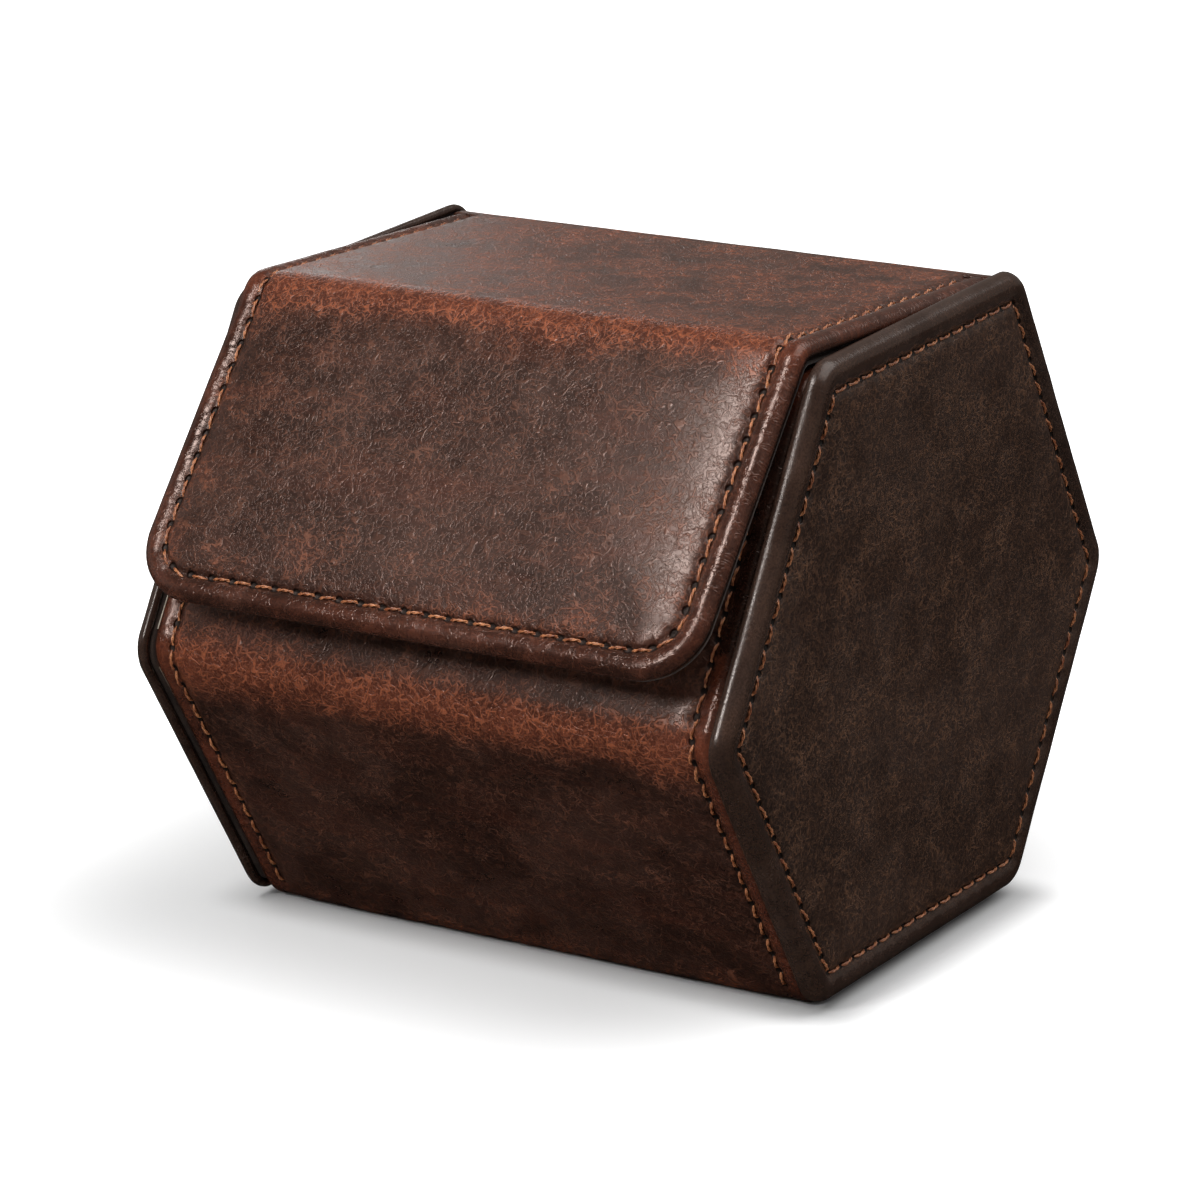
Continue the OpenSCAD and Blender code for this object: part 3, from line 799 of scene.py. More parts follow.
def panelLeather(name, side):
    skin = newSkin()
    thickness = panel["thickness"][side]
    rings = [(*panel["back"], 0.5)] + [(*spot, 1.0) for spot in panel["section"]]
    lastInset, top = panel["section"][-1][0], panel["fieldHeight"]
    rings += [(lastInset, top, share) for share in panel["fieldRings"]]
    for inset, height, share in rings:
        ring, numbers, total = panelRing(inset)
        away = inset - panel["seam"]
        # the rolled rim's crest is made lighter grey, as wear and as a painted highlight
        crestWearAndHighlight = math.exp(-((inset - 1.3) / 1.0) ** 2) if height > 1.5 else 0
        for (y, z), number in zip(panelMiddle + (ring - panelMiddle) * share, numbers):
            proud = height + 0.035 * softNoise((y, z, side), 3) * (height > 1.9)
            if height > 2:
                proud += 0.05 * softNoise((y, z, side * 50), 9) - panel["dent"] * holePulse(number, away)
            # the turned edge on the panel's inner face is marked for painted crevice shade
            addPoint(
                skin, (side * (innerX + proud * thickness), y, z), (number, away + (1 - share) * 20),
                (y + side * 200, z, height * 1.4), 0.35 * crestWearAndHighlight, away < -0.7, height < 0.3 and inset > 1.0,
            )
    index, faces = tubeFaces(len(skin["point"]), len(ring))
    for row, height in ((index[0], panel["back"][1]), (index[-1], top)):
        spot = (side * (innerX + height * thickness), *panelMiddle)
        addPoint(skin, spot, (0, 30), (panelMiddle[0] + side * 200, panelMiddle[1], 0))
        faces += fan(row, len(skin["point"]) - 1)
    return faceOut(skinMesh(name, skin, faces, darkLeather, total))


def panelSeams(side):
    corners = panelEdgeCounts()[0]
    height = side * (innerX + panel["stitchHeight"] * panel["thickness"][side])
    points = [(height, *corner) for corner in corners]
    return [([points[i], points[(i + 1) % 6]], [(side, 0, 0)] * 2) for i in range(6)]


def panelLining(name, side):
    # suede over a thin pad, on the panel's inner face
    points = []
    for inset, height, share in panel["lining"]:
        ring = panelRing(inset)[0][::2]
        for y, z in panelMiddle + (ring - panelMiddle) * share:
            points.append((side * (innerX + height + 0.02 * softNoise((y, z, 4), 6)), y, z))
    index, faces = tubeFaces(len(points), len(ring))
    for row, height in ((index[0], panel["lining"][0][1]), (index[-1], panel["lining"][-1][1])):
        points.append((side * (innerX + height), *panelMiddle))
        faces += fan(row, len(points) - 1)
    return faceOut(makeMesh(name, points, faces, suede))


def panelBoard(name, side):
    # the board inside, between its two rounded-off faces
    points = []
    for inset, height in panel["board"]:
        x = side * (innerX + height * panel["thickness"][side])
        ring = panelRing(inset)[0]
        points += [(x, y, z) for y, z in ring]
    index, faces = tubeFaces(len(points), len(ring))
    faces += [index[0][:-1].tolist(), index[-1][:-1].tolist()]
    return faceOut(makeMesh(name, points, faces, boardGrey))


for side, label in ((1, "right"), (-1, "left")):
    skin = panelLeather(f"{label}PanelLeather", side)
    thread = sewSeams(f"{label}PanelStitches", panelSeams(side), Slant=0.1 * side)
    lining = panelLining(f"{label}PanelLining", side)
    core = panelBoard(f"{label}PanelBoard", side)
    for piece, slot, node in (
        (skin, "dark_leather", "leather"), (thread, "thread", "stitching"), (lining, "lining", "lining"),
        (core, "board", "board"),
    ):
        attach(piece, "case")
        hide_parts(f"{label}_panel_{node}")
print("end panels made")


body = {
    "seam": 3.2,
    "stitchHeight": -0.08,
    # each run of stitches from one spot to another: corner, corner it heads for, share of the way
    "runs": [((0, 1, 0.08), (3, 2, 0.07)), ((4, 5, 0.07), (0, 5, 0.08))],
    "rowStep": 0.8,
    "arcStep": 0.45,
    "straightRoom": 50,
    # distance from the end and height over the leather's face, from the turned end
    # over its bead to the field
    "ends": [
        (0.0, -1.5), (0.05, -0.98), (0.22, -0.62), (0.5, -0.3), (0.85, -0.08), (1.2, 0.04), (1.6, 0.06),
        (2.05, -0.02), (2.5, -0.15), (2.85, -0.28), (3.2, -0.34), (3.55, -0.27), (3.95, -0.12), (4.35, 0.0),
    ],
    "fieldPuff": 0.22,
    "dent": 0.13,
    "middleStep": 1.6,
    "leather": 0.85,
    "windowX": 38.75,
    "lipHeight": 26,
    "backStrip": 10.5,
    "roll": 0.7,
    "rollTurns": (0.4, 0.8, 1.2, math.pi / 2),
    # distance into the opening and depth, down the wall's cut edge and back under the lining
    "windowHem": [
        (0.7, 1.6), (0.7, 2.6), (0.7, 3.45), (0.55, 3.85), (0.2, 4.05), (-1.0, 4.1), (-3.0, 4.05),
        (-3.1, 3.75),
    ],
    "wearReach": 6.2,
    "creaseWear": {1: 1.0, 2: 0.9, 3: 0.4, 4: 0.4, 5: 0.8},
    "liningRadii": [1.0, 2.4, 2.4, 2.4, 2.4, 2.4],
    "liningEndColumns": 4,
    "liningColumns": 36,
    "lining": 0.35,
}


def wallPath(outline, radii, stops=()):
    # rows round an outline: place, outward normal, distance walked and room inside the bend
    rows = []
    arcs = [
        cornerArc(outline, i, radius, max(5, int(radius * 1.2 / body["arcStep"])))
        for i, radius in enumerate(radii)
    ]
    for i, (spots, normals) in enumerate(arcs):
        rows += [(spot, normal, radii[i]) for spot, normal in zip(spots, normals)]
        start = spots[-1]
        run = arcs[(i + 1) % len(arcs)][0][0] - start
        length = np.linalg.norm(run)
        steps = max(2, int(length / body["rowStep"]))
        shares = set(np.round(np.linspace(0, 1, steps + 1)[1:-1], 6))
        for stop in stops:
            share = (stop - start) @ run / length**2
            gap = abs(np.cross(run, stop - start)) / length
            if 0 < share < 1 and gap < 5:
                shares = {s for s in shares if abs(s - share) * length > 0.35} | {share}
        rows += [(start + run * share, normals[-1], body["straightRoom"]) for share in sorted(shares)]
    places, outwards, rooms = (np.array(column, float) for column in zip(*rows))
    walked = np.concatenate([[0], np.cumsum(np.linalg.norm(np.diff(places, axis=0), axis=1))])
    return places, outwards, walked, rooms


def nearestRow(places, point):
    return int(np.argmin(np.linalg.norm(places - point, axis=1)))


def windowStops():
    # the opening's front and back edge on the leather's face, where its roll begins
    upward = unit(bodyOutline[1] - bodyOutline[2])
    lip = bodyOutline[2] + (body["lipHeight"] - body["roll"]) * upward
    return lip, bodyOutline[0] - [body["backStrip"] - body["roll"], 0]


def seamRuns(places):
    # the first and last row of each run, from the hinge down the front and up the back
    def row(corner, onward, share):
        start = bodyOutline[corner]
        return nearestRow(places, start + (bodyOutline[onward] - start) * share)
    return [(row(*first), row(*last)) for first, last in body["runs"]]


def countStitches(walked, runs):
    # the stitch number at each row, and less than 0 where nothing is sewn
    numbers = np.full(len(walked), -0.5)
    total = 0
    for first, last in runs:
        run = walked[last] - walked[first]
        count = round(run / case["stitchPitch"])
        share = (walked - walked[first]) / run
        inside = (share >= 0) & (share <= 1)
        numbers[inside] = (total + share * count)[inside]
        total += count
    return numbers


def bodyHeight(spot, height, away, number, room):
    if height is None:
        height = body["fieldPuff"] * (1 - math.exp(-max(away, 0) / 3.0))
        height *= min(1, max(0, away - 0.9) / 2)
    if number < 0 and abs(away) < 1.3:
        height = max(height, -0.02)
    height = max(height, -0.75 * room)
    if number >= 0:
        height -= body["dent"] * holePulse(number, away)
    swell = 0.09 * softNoise(spot, 14, 2) + 0.04 * softNoise(spot, 4, 5)
    return height + swell * min(1, abs(away + 3.2) / 4)


def bodyWear(x, place, away, creases):
    # rubbed along the creases, and in a strip beside each end panel that is left out under the flap, as
    # less worn there and as painted shade of the flap
    ripple = body["wearReach"] * (1 + 0.35 * softNoise((x, 0, 9), 18))
    worn = []
    for crease, share in creases:
        reach = ripple * (0.6 if place[1] > crease[1] else 1)
        worn.append(share * math.exp(-(np.linalg.norm(place - crease) / reach) ** 2))
    # no worn strip under the flap: that leather stays dark, as less worn and as painted shade of the flap
    strip = 0.62 * (away < 0) * math.exp(-((away + 1.6) / 1.6) ** 2) * (place[1] < 54 or place[0] > 27)
    return max(*worn, strip)


def bodyLeather():
    skin = newSkin()
    lip, back = windowStops()
    places, outwards, walked, rooms = wallPath(bodyOutline, case["creaseRadii"], (lip, back))
    runs = seamRuns(places)
    numbers = countStitches(walked, runs)
    edge = body["windowX"] + body["roll"]
    profile = [(innerX - away, height) for away, height in body["ends"] if innerX - away > edge + 0.05]
    profile += [(x, None) for x in np.linspace(edge, 0, int(edge / body["middleStep"]) + 1)]
    profile += [(-x, height) for x, height in profile[-2::-1]]
    creases = [
        (cornerArc(bodyOutline, i, case["creaseRadii"][i], 2)[0][1], share)
        for i, share in body["creaseWear"].items()
    ]
    for place, outward, far, room, number in zip(places, outwards, walked, rooms, numbers):
        for x, height in profile:
            away = innerX - abs(x) - body["seam"]
            height = bodyHeight((x, *place), height, away, number, room)
            y, z = place + outward * height
            # the body's end beside each panel is marked for painted crevice shade
            addPoint(
                skin, (x, y, max(0.02, z)), (number, away) if number >= 0 else (0.5, away + 40),
                (x, far, height * 1.5), bodyWear(x, place, away, creases), away < -0.7,
                away < 0.1 - body["seam"],
            )
    columns = [x for x, _ in profile]
    index = np.arange(len(skin["point"])).reshape(-1, len(columns))
    inside = [i for i, x in enumerate(columns) if abs(x) <= edge + 1e-6]
    firstColumn, lastColumn = inside[0], inside[-1]
    backRow, lipRow = nearestRow(places, back), nearestRow(places, lip)

    def inWindow(j, i):
        return backRow <= j < lipRow and firstColumn <= i < lastColumn

    faces = gridFaces(index, inWindow, closed=True)
    # the opening's edge: a roll, the wall's cut edge, and a hem turned over the lining
    loop = [(backRow, i) for i in range(firstColumn, lastColumn)]
    loop += [(j, lastColumn) for j in range(backRow, lipRow)]
    loop += [(lipRow, i) for i in range(lastColumn, firstColumn, -1)]
    loop += [(j, firstColumn) for j in range(lipRow, backRow, -1)]
    steps = [(math.sin(a) * body["roll"], (1 - math.cos(a)) * body["roll"]) for a in body["rollTurns"]]
    rings = [[index[spot] for spot in loop]]
    for shift, depth in steps + body["windowHem"]:
        rings.append(range(len(skin["point"]), len(skin["point"]) + len(loop)))
        for j, i in loop:
            x = columns[i]
            if i in (firstColumn, lastColumn):
                x -= math.copysign(shift, x)
            forward = 1 if j == backRow else -1 if j == lipRow else 0
            onward = np.array([-outwards[j][1], outwards[j][0]])
            spot = places[j] + onward * forward * shift - outwards[j] * depth
            grain = (x, walked[j] + forward * depth, depth)
            addPoint(skin, (x, *spot), (0.5, 30), grain, 0.35 if depth < 1 else 0.1)
    faces += gridFaces(closeRings(np.array([list(ring) for ring in rings])))
    seams = {}
    for side in (1, -1):
        x = side * (innerX - body["seam"])
        seams[side] = [
            ([(x, *spot) for spot in places[rows] + outwards[rows] * body["stitchHeight"]],
             [(0, *outward) for outward in outwards[rows]])
            for rows in (slice(first, last + 1) for first, last in runs)
        ]
    return skinMesh("bodyLeather", skin, faces, brownLeather), seams


def insideLining():
    # suede on the walls inside, with an open window where the leather turns in
    stops = windowStops()
    outline = insetOutline(bodyOutline, case["wallDepth"])
    places, outwards = wallPath(outline, body["liningRadii"], stops)[:2]
    edge = body["windowX"] + body["roll"]
    ends = np.linspace(innerX - 0.2, edge, body["liningEndColumns"])
    middle = np.linspace(edge, -edge, body["liningColumns"])[1:-1]
    xs = np.concatenate([ends, middle, -ends[::-1]])
    points = []
    for place, outward in zip(places, outwards):
        for x in xs:
            puff = -0.12 + 0.06 * softNoise((x, *place), 7, 8)
            points.append((x, *(place + outward * puff)))
    lipRow, backRow = (nearestRow(places, stop) for stop in stops)

    def inWindow(j, i):
        return backRow <= j < lipRow and len(ends) - 1 <= i < len(xs) - len(ends)

    index = np.arange(len(points)).reshape(-1, len(xs))
    faces = [face[::-1] for face in gridFaces(index, inWindow, closed=True)]
    return thicken(makeMesh("insideLining", points, faces, suede), body["lining"])


bodySkin, bodySeams = bodyLeather()
bodySkin = thicken(bodySkin, body["leather"])
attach(bodySkin, "case")
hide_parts("wrap_leather")
for side, label in ((1, "right"), (-1, "left")):
    thread = sewSeams(f"{label}BodyStitches", bodySeams[side], Slant=-0.1 * side)
    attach(thread, "case")
    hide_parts(f"{label}_body_stitching")
lining = insideLining()
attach(lining, "case")
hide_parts("body_lining")
print("body made")


flap = {
    "backGap": 1.75,
    "frontShort": 8,
    "bendRadius": 4.6,
    "bendMargin": 3,
    "cornerRadius": 9,
    "seam": 3.4,
    "seamStart": 2.2,
    "stitchHeights": (-0.14, -3.42),
    "dent": 0.15,
    "rowStep": 0.85,
    "bendStep": 0.5,
    "arcSteps": 16,
    "edgePuff": 0.12,
    "topPuff": 0.35,
    "frontPuff": 1.55,
    "puffReach": 5.5,
    "leather": 0.7,
    # distance from the edge and height over the flap's face, from the turned edge
    # underneath over the roll to the seam and the padded field
    "section": [
        (1.5, -2.7), (0.95, -2.76), (0.5, -2.66), (0.18, -2.35), (0.02, -1.9), (0.0, -1.4), (0.12, -0.9),
        (0.42, -0.45), (0.85, -0.14), (1.35, 0.04), (1.9, 0.08), (2.4, 0.0), (2.85, -0.14), (3.15, -0.3),
        (3.4, -0.38), (3.62, -0.3), (3.86, -0.08), (4.2, 0.12), (4.7, None), (5.2, None), (5.8, None),
        (6.7, None), (7.8, None), (9.0, None),
    ],
    "lining": [
        (3.0, -2.6), (0.6, -2.62), (0.42, -2.75), (0.38, -2.98), (0.5, -3.2), (0.8, -3.32), (1.4, -3.36),
        (2.6, -3.36), (3.4, -3.3), (4.2, -3.36), (6.0, -3.4), (9.0, -3.4),
    ],
    "thin": 0.25,
    # distance behind the back edge and height over the face
    "hem": [
        (-0.9, -0.42), (-0.3, -0.3), (0.02, -0.38), (0.2, -0.7), (0.24, -1.3), (0.24, -2.3), (0.18, -2.9),
        (0.0, -3.1), (-0.9, -3.15),
    ],
    "hemShort": 0.7,
    "hemColumns": 61,
}
topRun, topNormal = turned((-1, 0), -topSlope), turned((0, 1), -topSlope)


def flapPath():
    # walks the flap's outer face from its back edge over the fold to the lower edge
    frontRun, frontNormal = turned((-1, 0), frontAngle), turned((0, 1), frontAngle)
    start = hingePoint + topRun * flap["backGap"]
    frontLength = np.linalg.norm(frontWall) - flap["frontShort"]
    lowest = foldPoint + frontRun * frontLength + frontNormal * case["flapDepth"] / 2
    peak = crossing(topNormal, topNormal @ hingePoint, frontNormal, frontNormal @ lowest)
    swing = math.radians(topSlope + frontAngle)
    radius = flap["bendRadius"]
    tangent = radius * math.tan(swing / 2)
    topLength = np.linalg.norm(peak - start) - tangent
    bend = radius * swing
    length = topLength + bend + np.linalg.norm(lowest - peak) - tangent
    centre = start + topRun * topLength - topNormal * radius

    def at(s):
        if s <= topLength:
            return start + topRun * s, topNormal
        if s >= topLength + bend:
            return lowest - frontRun * (length - s), frontNormal
        normal = turned((0, 1), -topSlope + math.degrees((s - topLength) / radius))
        return centre + normal * radius, normal

    return at, topLength, bend, length


flapAt, flapTopLength, flapBend, flapLength = flapPath()
flapWide = flapX - flap["cornerRadius"]
flapLow = flapLength - flap["cornerRadius"]
seamRadius = flap["cornerRadius"] - flap["seam"]
seamArc = seamRadius * math.pi / 2
seamTotal = 2 * (flapLow + seamArc + flapWide)
bendRows = (flapTopLength - flap["bendMargin"], flapTopLength + flapBend + flap["bendMargin"])


def layFlap():
    # the distances walked at the rows, closer together round the fold, the columns, and
    # every spot round the three sewn edges
    rows = []
    for start, end, step in (
        (0, bendRows[0], flap["rowStep"]), (*bendRows, flap["bendStep"]),
        (bendRows[1], flapLow, flap["rowStep"]),
    ):
        rows += list(np.linspace(start, end, max(2, round((end - start) / step)) + 1)[:-1])
    rows.append(flapLow)
    columns = np.linspace(-flapWide, flapWide, round(2 * flapWide / flap["rowStep"]) + 1)
    arc = np.linspace(0, math.pi / 2, flap["arcSteps"] + 1)[1:-1]
    rim = [("left", s) for s in rows] + [("leftArc", a) for a in arc] + [("low", x) for x in columns]
    rim += [("rightArc", a) for a in arc[::-1]] + [("right", s) for s in rows[::-1]]
    return rows, columns, rim


flapRows, flapColumns, flapRim = layFlap()


def rimSpot(place, value, edge):
    # the place across and down the flap, and the distance along the seam
    inner = flap["cornerRadius"] - edge
    if place == "low":
        return value, flapLow + inner, flapLow + seamArc + value + flapWide
    if "Arc" in place:
        out, s = flapWide + inner * math.cos(value), flapLow + inner * math.sin(value)
        walked = flapLow + seamRadius * value
    else:
        out, s, walked = flapWide + inner, value, value
    return (-out, s, walked) if place.startswith("left") else (out, s, seamTotal - walked)


def flapWear(x, s, edge):
    # most on the fold, then along the sewn edges, the back edge and the top
    below = s - flapTopLength - flapBend * 0.55 + 1.2 * softNoise((x, 5, 8), 9)
    reach = (5.0 if below > 0 else 3.0) * (1 + 0.5 * softNoise((x, 0, 3), 17))
    return max(
        0.9 * math.exp(-((below / reach) ** 2)), 0.42 * math.exp(-((edge - 1.6) / 1.5) ** 2),
        0.3 * math.exp(-max(0, edge - 4) / 5), 0.35 * math.exp(-s / 6), 0.42 * (s < flapTopLength),
    )


def flapSheet(name, section, material, flip, heightAt):
    # rings round three edges of the flap, joined to a grid in its middle
    skin = newSkin()
    stitchCount = round(seamTotal / case["stitchPitch"])

    def add(x, s, walked, edge, height, mark=None):
        number = walked / seamTotal * stitchCount
        height = heightAt(x, s, edge, height, number)
        place, normal = flapAt(s)
        # the flap's turned edge underneath is marked for painted crevice shade
        addPoint(
            skin, (x, *(place + normal * height)), mark or (number, edge - flap["seam"]),
            (x + 3 * (height < -1.5), s + 300, height * 1.5), flapWear(x, s, edge),
            edge < flap["seam"] - 0.6, edge < 1.6 and height < -1.8,
        )

    for edge, height in section:
        for place, value in flapRim:
            if edge < flap["cornerRadius"] or "Arc" not in place:
                add(*rimSpot(place, value, edge), edge, height)
    # the last ring has no arcs: it is the middle grid's own edge
    rings = np.arange((len(section) - 1) * len(flapRim)).reshape(-1, len(flapRim))
    sides, turn = len(flapRows), flap["arcSteps"] - 1
    last = np.arange(rings.size, len(skin["point"]))
    left, low, right = last[:sides], last[sides:-sides], last[-sides:]
    low[0], low[-1] = left[-1], right[0]
    inner = np.concatenate([left, [left[-1]] * turn, low, [right[0]] * turn, right])
    faces = gridFaces(np.vstack([rings, inner]).T)
    grid = np.full((sides, len(flapColumns)), -1)
    grid[:, 0], grid[:, -1], grid[-1, :] = left, right[::-1], low
    for j, s in enumerate(flapRows[:-1]):
        for i, x in enumerate(flapColumns[1:-1], 1):
            grid[j, i] = len(skin["point"])
            edge = min(flapX - abs(x), flapLength - s)
            add(x, s, 0, edge, section[-1][1], (0.5, edge))
    faces += gridFaces(grid)
    if flip:
        faces = [face[::-1] for face in faces]
    return skinMesh(name, skin, faces, material)


def onFront(s):
    # 0 on the flap's top, 1 on its front
    t = np.clip((s - flapTopLength + 1) / (flapBend + 9), 0, 1)
    return t * t * (3 - 2 * t)


def outerHeight(x, s, edge, height, number):
    if height is None:
        puff = flap["topPuff"] + (flap["frontPuff"] - flap["topPuff"]) * onFront(s)
        inward = edge - 4.2
        height = flap["edgePuff"] + (puff - flap["edgePuff"]) * (1 - math.exp(-inward / flap["puffReach"]))
        height += 0.22 * softNoise((x, s, 1), 22) * min(1, inward / 6)
    height -= flap["dent"] * holePulse(number, edge - flap["seam"])
    if edge < 3 and height > -1.2:
        height += 0.05 * softNoise((x, s, 6), 5)
    return height


def innerHeight(x, s, edge, height, number):
    return height + (0.05 * softNoise((x, s, 12), 8) if edge > 2 else 0)


def flapSeam(height):
    line, ups = [], []
    for place, value in flapRim:
        x, s, _ = rimSpot(place, value, flap["seam"])
        if s >= flap["seamStart"]:
            point, normal = flapAt(s)
            line.append((x, *(point + normal * height)))
            ups.append((0, *(normal if height > -1 else -normal)))
    return line, ups


def blendFlap(piece, *nodes):
    start, end = (flapAt(s)[0] * mm for s in bendRows)
    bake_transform(piece)
    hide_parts(*nodes)


def flapHem():
    # the leather turned down round the flap's back edge
    skin = newSkin()
    place, normal = flapAt(0)
    xs = np.linspace(-flapX + flap["hemShort"], flapX - flap["hemShort"], flap["hemColumns"])
    for out, height in flap["hem"]:
        for x in xs:
            spot = place - topRun * out + normal * height
            addPoint(skin, (x, *spot), (0.5, 30), (x, 290 + height, out), 0.2)
    index = np.arange(len(skin["point"])).reshape(-1, len(xs))
    return thicken(skinMesh("flapHem", skin, gridFaces(index), brownLeather), flap["thin"])


flapSkin = flapSheet("flapLeather", flap["section"], brownLeather, True, outerHeight)
thicken(flapSkin, flap["leather"])
blendFlap(flapSkin, "flap_top_leather", "fold_leather", "flap_front_leather", "flap_front_foam")
flapSuede = thicken(flapSheet("flapLining", flap["lining"], suede, False, innerHeight), flap["thin"])
blendFlap(flapSuede, "flap_top_lining", "flap_front_lining")
hem = flapHem()
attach(hem, "flap_top")
flapThread = sewSeams("flapStitches", [flapSeam(height) for height in flap["stitchHeights"]], Slant=0.1)
blendFlap(flapThread, "flap_top_stitching", "flap_front_stitching")


strap = {
    "wall": 17,
    "wallRows": 24,
    "bendRows": 9,
    "columns": 44,
    "proud": 0.55,
    "topProud": 0.05,
    "radius": 1.5,
    "seam": 2.6,
    "stitchHeight": 0.08,
    "stitchSpots": 30,
    "leather": 0.45,
    # distance from the end and height over the strap's face
    "ends": [(0.0, -0.45), (0.05, -0.2), (0.25, -0.03), (0.6, 0.0), (1.2, 0.0), (2.0, 0.0)],
    # how far beyond the lower row the cut edge goes: down, inwards, and as walked
    "lowerEdge": [(0.28, 0.15, 0.3), (0.36, 0.45, 0.6)],
    "blendReach": 0.7,
}
wallRun = unit(bodyOutline[5] - bodyOutline[0])
wallNormal = np.array([-wallRun[1], wallRun[0]])
strapCorner = crossing(
    wallNormal, wallNormal @ hingePoint + strap["proud"],
    topNormal, topNormal @ hingePoint + strap["topProud"],
)


def strapRows():
    # place, normal and distance below the corner, from the strap's lower edge to the flap
    swing = math.atan2(topNormal[1], topNormal[0]) - math.atan2(wallNormal[1], wallNormal[0])
    radius = strap["radius"]
    tangent = radius * math.tan(swing / 2)
    downs = np.linspace(strap["wall"], tangent, strap["wallRows"])
    rows = [(strapCorner + wallRun * t, wallNormal, t) for t in downs]
    for down, inward, beyond in strap["lowerEdge"]:
        spot = strapCorner + wallRun * (strap["wall"] + down) - wallNormal * inward
        rows.insert(0, (spot, wallNormal, strap["wall"] + beyond))
    centre = strapCorner + wallRun * tangent - wallNormal * radius
    for a in np.linspace(0, swing, strap["bendRows"])[1:]:
        normal = turned(wallNormal, math.degrees(a))
        rows.append((centre + normal * radius, normal, -a * radius))
    end = centre + topNormal * radius
    far = flap["backGap"] + 0.05 - abs((end - hingePoint) @ topRun)
    for t in np.linspace(0, max(far, 0.2), 3)[1:]:
        rows.append((end + topRun * t, topNormal, -swing * radius - t))
    return rows


def hingeStrap():
    # the flap's leather carried on over the hinge line and down the back wall
    skin = newSkin()
    xs = [(flapX - away, height) for away, height in strap["ends"]]
    xs += [(x, 0) for x in np.linspace(flapX - 2.8, 0, strap["columns"])]
    xs += [(-x, height) for x, height in xs[-2::-1]]
    reach = flapX - strap["seam"]
    stitches = round(2 * reach / case["stitchPitch"])
    for place, normal, t in strapRows():
        away = strap["wall"] - t - strap["seam"] if t > 4 else 30
        wear = max(0.6 * math.exp(-(t / 3.2) ** 2), 0.3 * (t > strap["wall"] - 1))
        for x, height in xs:
            number = (x + reach) / (2 * reach) * stitches
            height -= 0.14 * math.exp(-(away / 0.7) ** 2)
            mark = (0.5, 30)
            if abs(x) <= reach + 0.01:
                height -= 0.08 * holePulse(number, away)
                mark = (number, away)
            height += 0.03 * softNoise((x, t, 3), 5)
            addPoint(skin, (x, *(place + normal * height)), mark, (x, 300 - t, height), wear)
    index = np.arange(len(skin["point"])).reshape(-1, len(xs))
    return thicken(skinMesh("hingeStrap", skin, gridFaces(index), brownLeather), strap["leather"])


def strapSeam():
    spot = strapCorner + wallRun * (strap["wall"] - strap["seam"]) + wallNormal * strap["stitchHeight"]
    reach = flapX - strap["seam"]
    line = [(x, *spot) for x in np.linspace(-reach, reach, strap["stitchSpots"])]
    return line, [(0, *wallNormal)] * len(line)


strapSkin = hingeStrap()
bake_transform(strapSkin)
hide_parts("hinge_leather")
strapThread = sewSeams("strapStitches", [strapSeam()], Slant=0.1)
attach(strapThread, "case")
print("flap made")


cushion = {
    "voxel": 0.003,
    "shrink": 0.0016,
    "pressure": 4.0,
    "frames": 20,
    "cap": 0.0026,
    "mass": 0.3,
    "height": 45.0,
    "tilt": 18.0,
    "nestRadius": 26.2,
    "nestDepth": 11.0,
    "crownWidth": 18.0,
    "crownEnd": 38.0,
    # painted highlight on the nest's rim and painted shade on its wall and floor
    "rimGlow": 0.6,
    "wallShade": 0.7,
    "nestShade": 0.22,
    "piping": 0.8,
    "pipingSides": 10,
    "pipingOut": (1.5, 1.2),
    "pipingUp": 0.45,
}


def onCushion(point):
    # millimetres on the cushion's tilted face, with its height above the face last
    x, along, height = point
    y, z = turned((along, height), cushion["tilt"])
    return np.array([x, y, z + cushion["height"]])


def fromCushion(points):
    # the other way, for a whole array of points
    slope = math.radians(cushion["tilt"])
    x, y, z = np.asarray(points).T
    z = z - cushion["height"]
    return x, y * math.cos(slope) + z * math.sin(slope), z * math.cos(slope) - y * math.sin(slope)


def paintNestLightAndShade(pad):
    # painted highlight along the nest's rim, and painted shade where its wall meets its floor and inside
    # the nest
    x, along, height = fromCushion(np.array([v.co for v in pad.data.vertices]) * perMetre)
    beyond = np.hypot(x, along) - cushion["nestRadius"]
    depth = np.clip(-height / cushion["nestDepth"], 0, 1)
    rim = np.exp(-((beyond + 0.6) / 2.2) ** 2) * np.clip(1 - depth * 3, 0, 1)
    wall = np.exp(-((beyond + 2.4) / 3.4) ** 2) * np.clip(depth * 2.2 - 0.2, 0, 1)
    inside = np.clip((1 - beyond) / 2, 0, 1) * depth
    nap = rim * cushion["rimGlow"] - wall * cushion["wallShade"] - inside * cushion["nestShade"]
    addField(pad.data, "nap", nap)


def smoothed(values, rounds):
    for _ in range(rounds):
        values = (np.roll(values, 1, 0) + values * 2 + np.roll(values, -1, 0)) / 4
    return values


def nestRoute():
    # round the nest and the recess for the crown
    out, side = cushion["pipingOut"]
    radius = cushion["nestRadius"] + out
    half = cushion["crownWidth"] / 2 + side
    end = cushion["crownEnd"] + side
    meet = math.acos(half / radius)
    start = radius * math.sin(meet)
    turns = np.linspace(meet, -math.pi - meet, 150)
    route = [(radius * math.cos(a), radius * math.sin(a)) for a in turns]
    route += [(-half, y) for y in np.linspace(start, end, 14)[1:]]
    route += [(x, end) for x in np.linspace(-half, half, 20)[1:]]
    route += [(half, y) for y in np.linspace(end, start, 14)[1:-1]]
    return smoothed(np.array(route), 10)


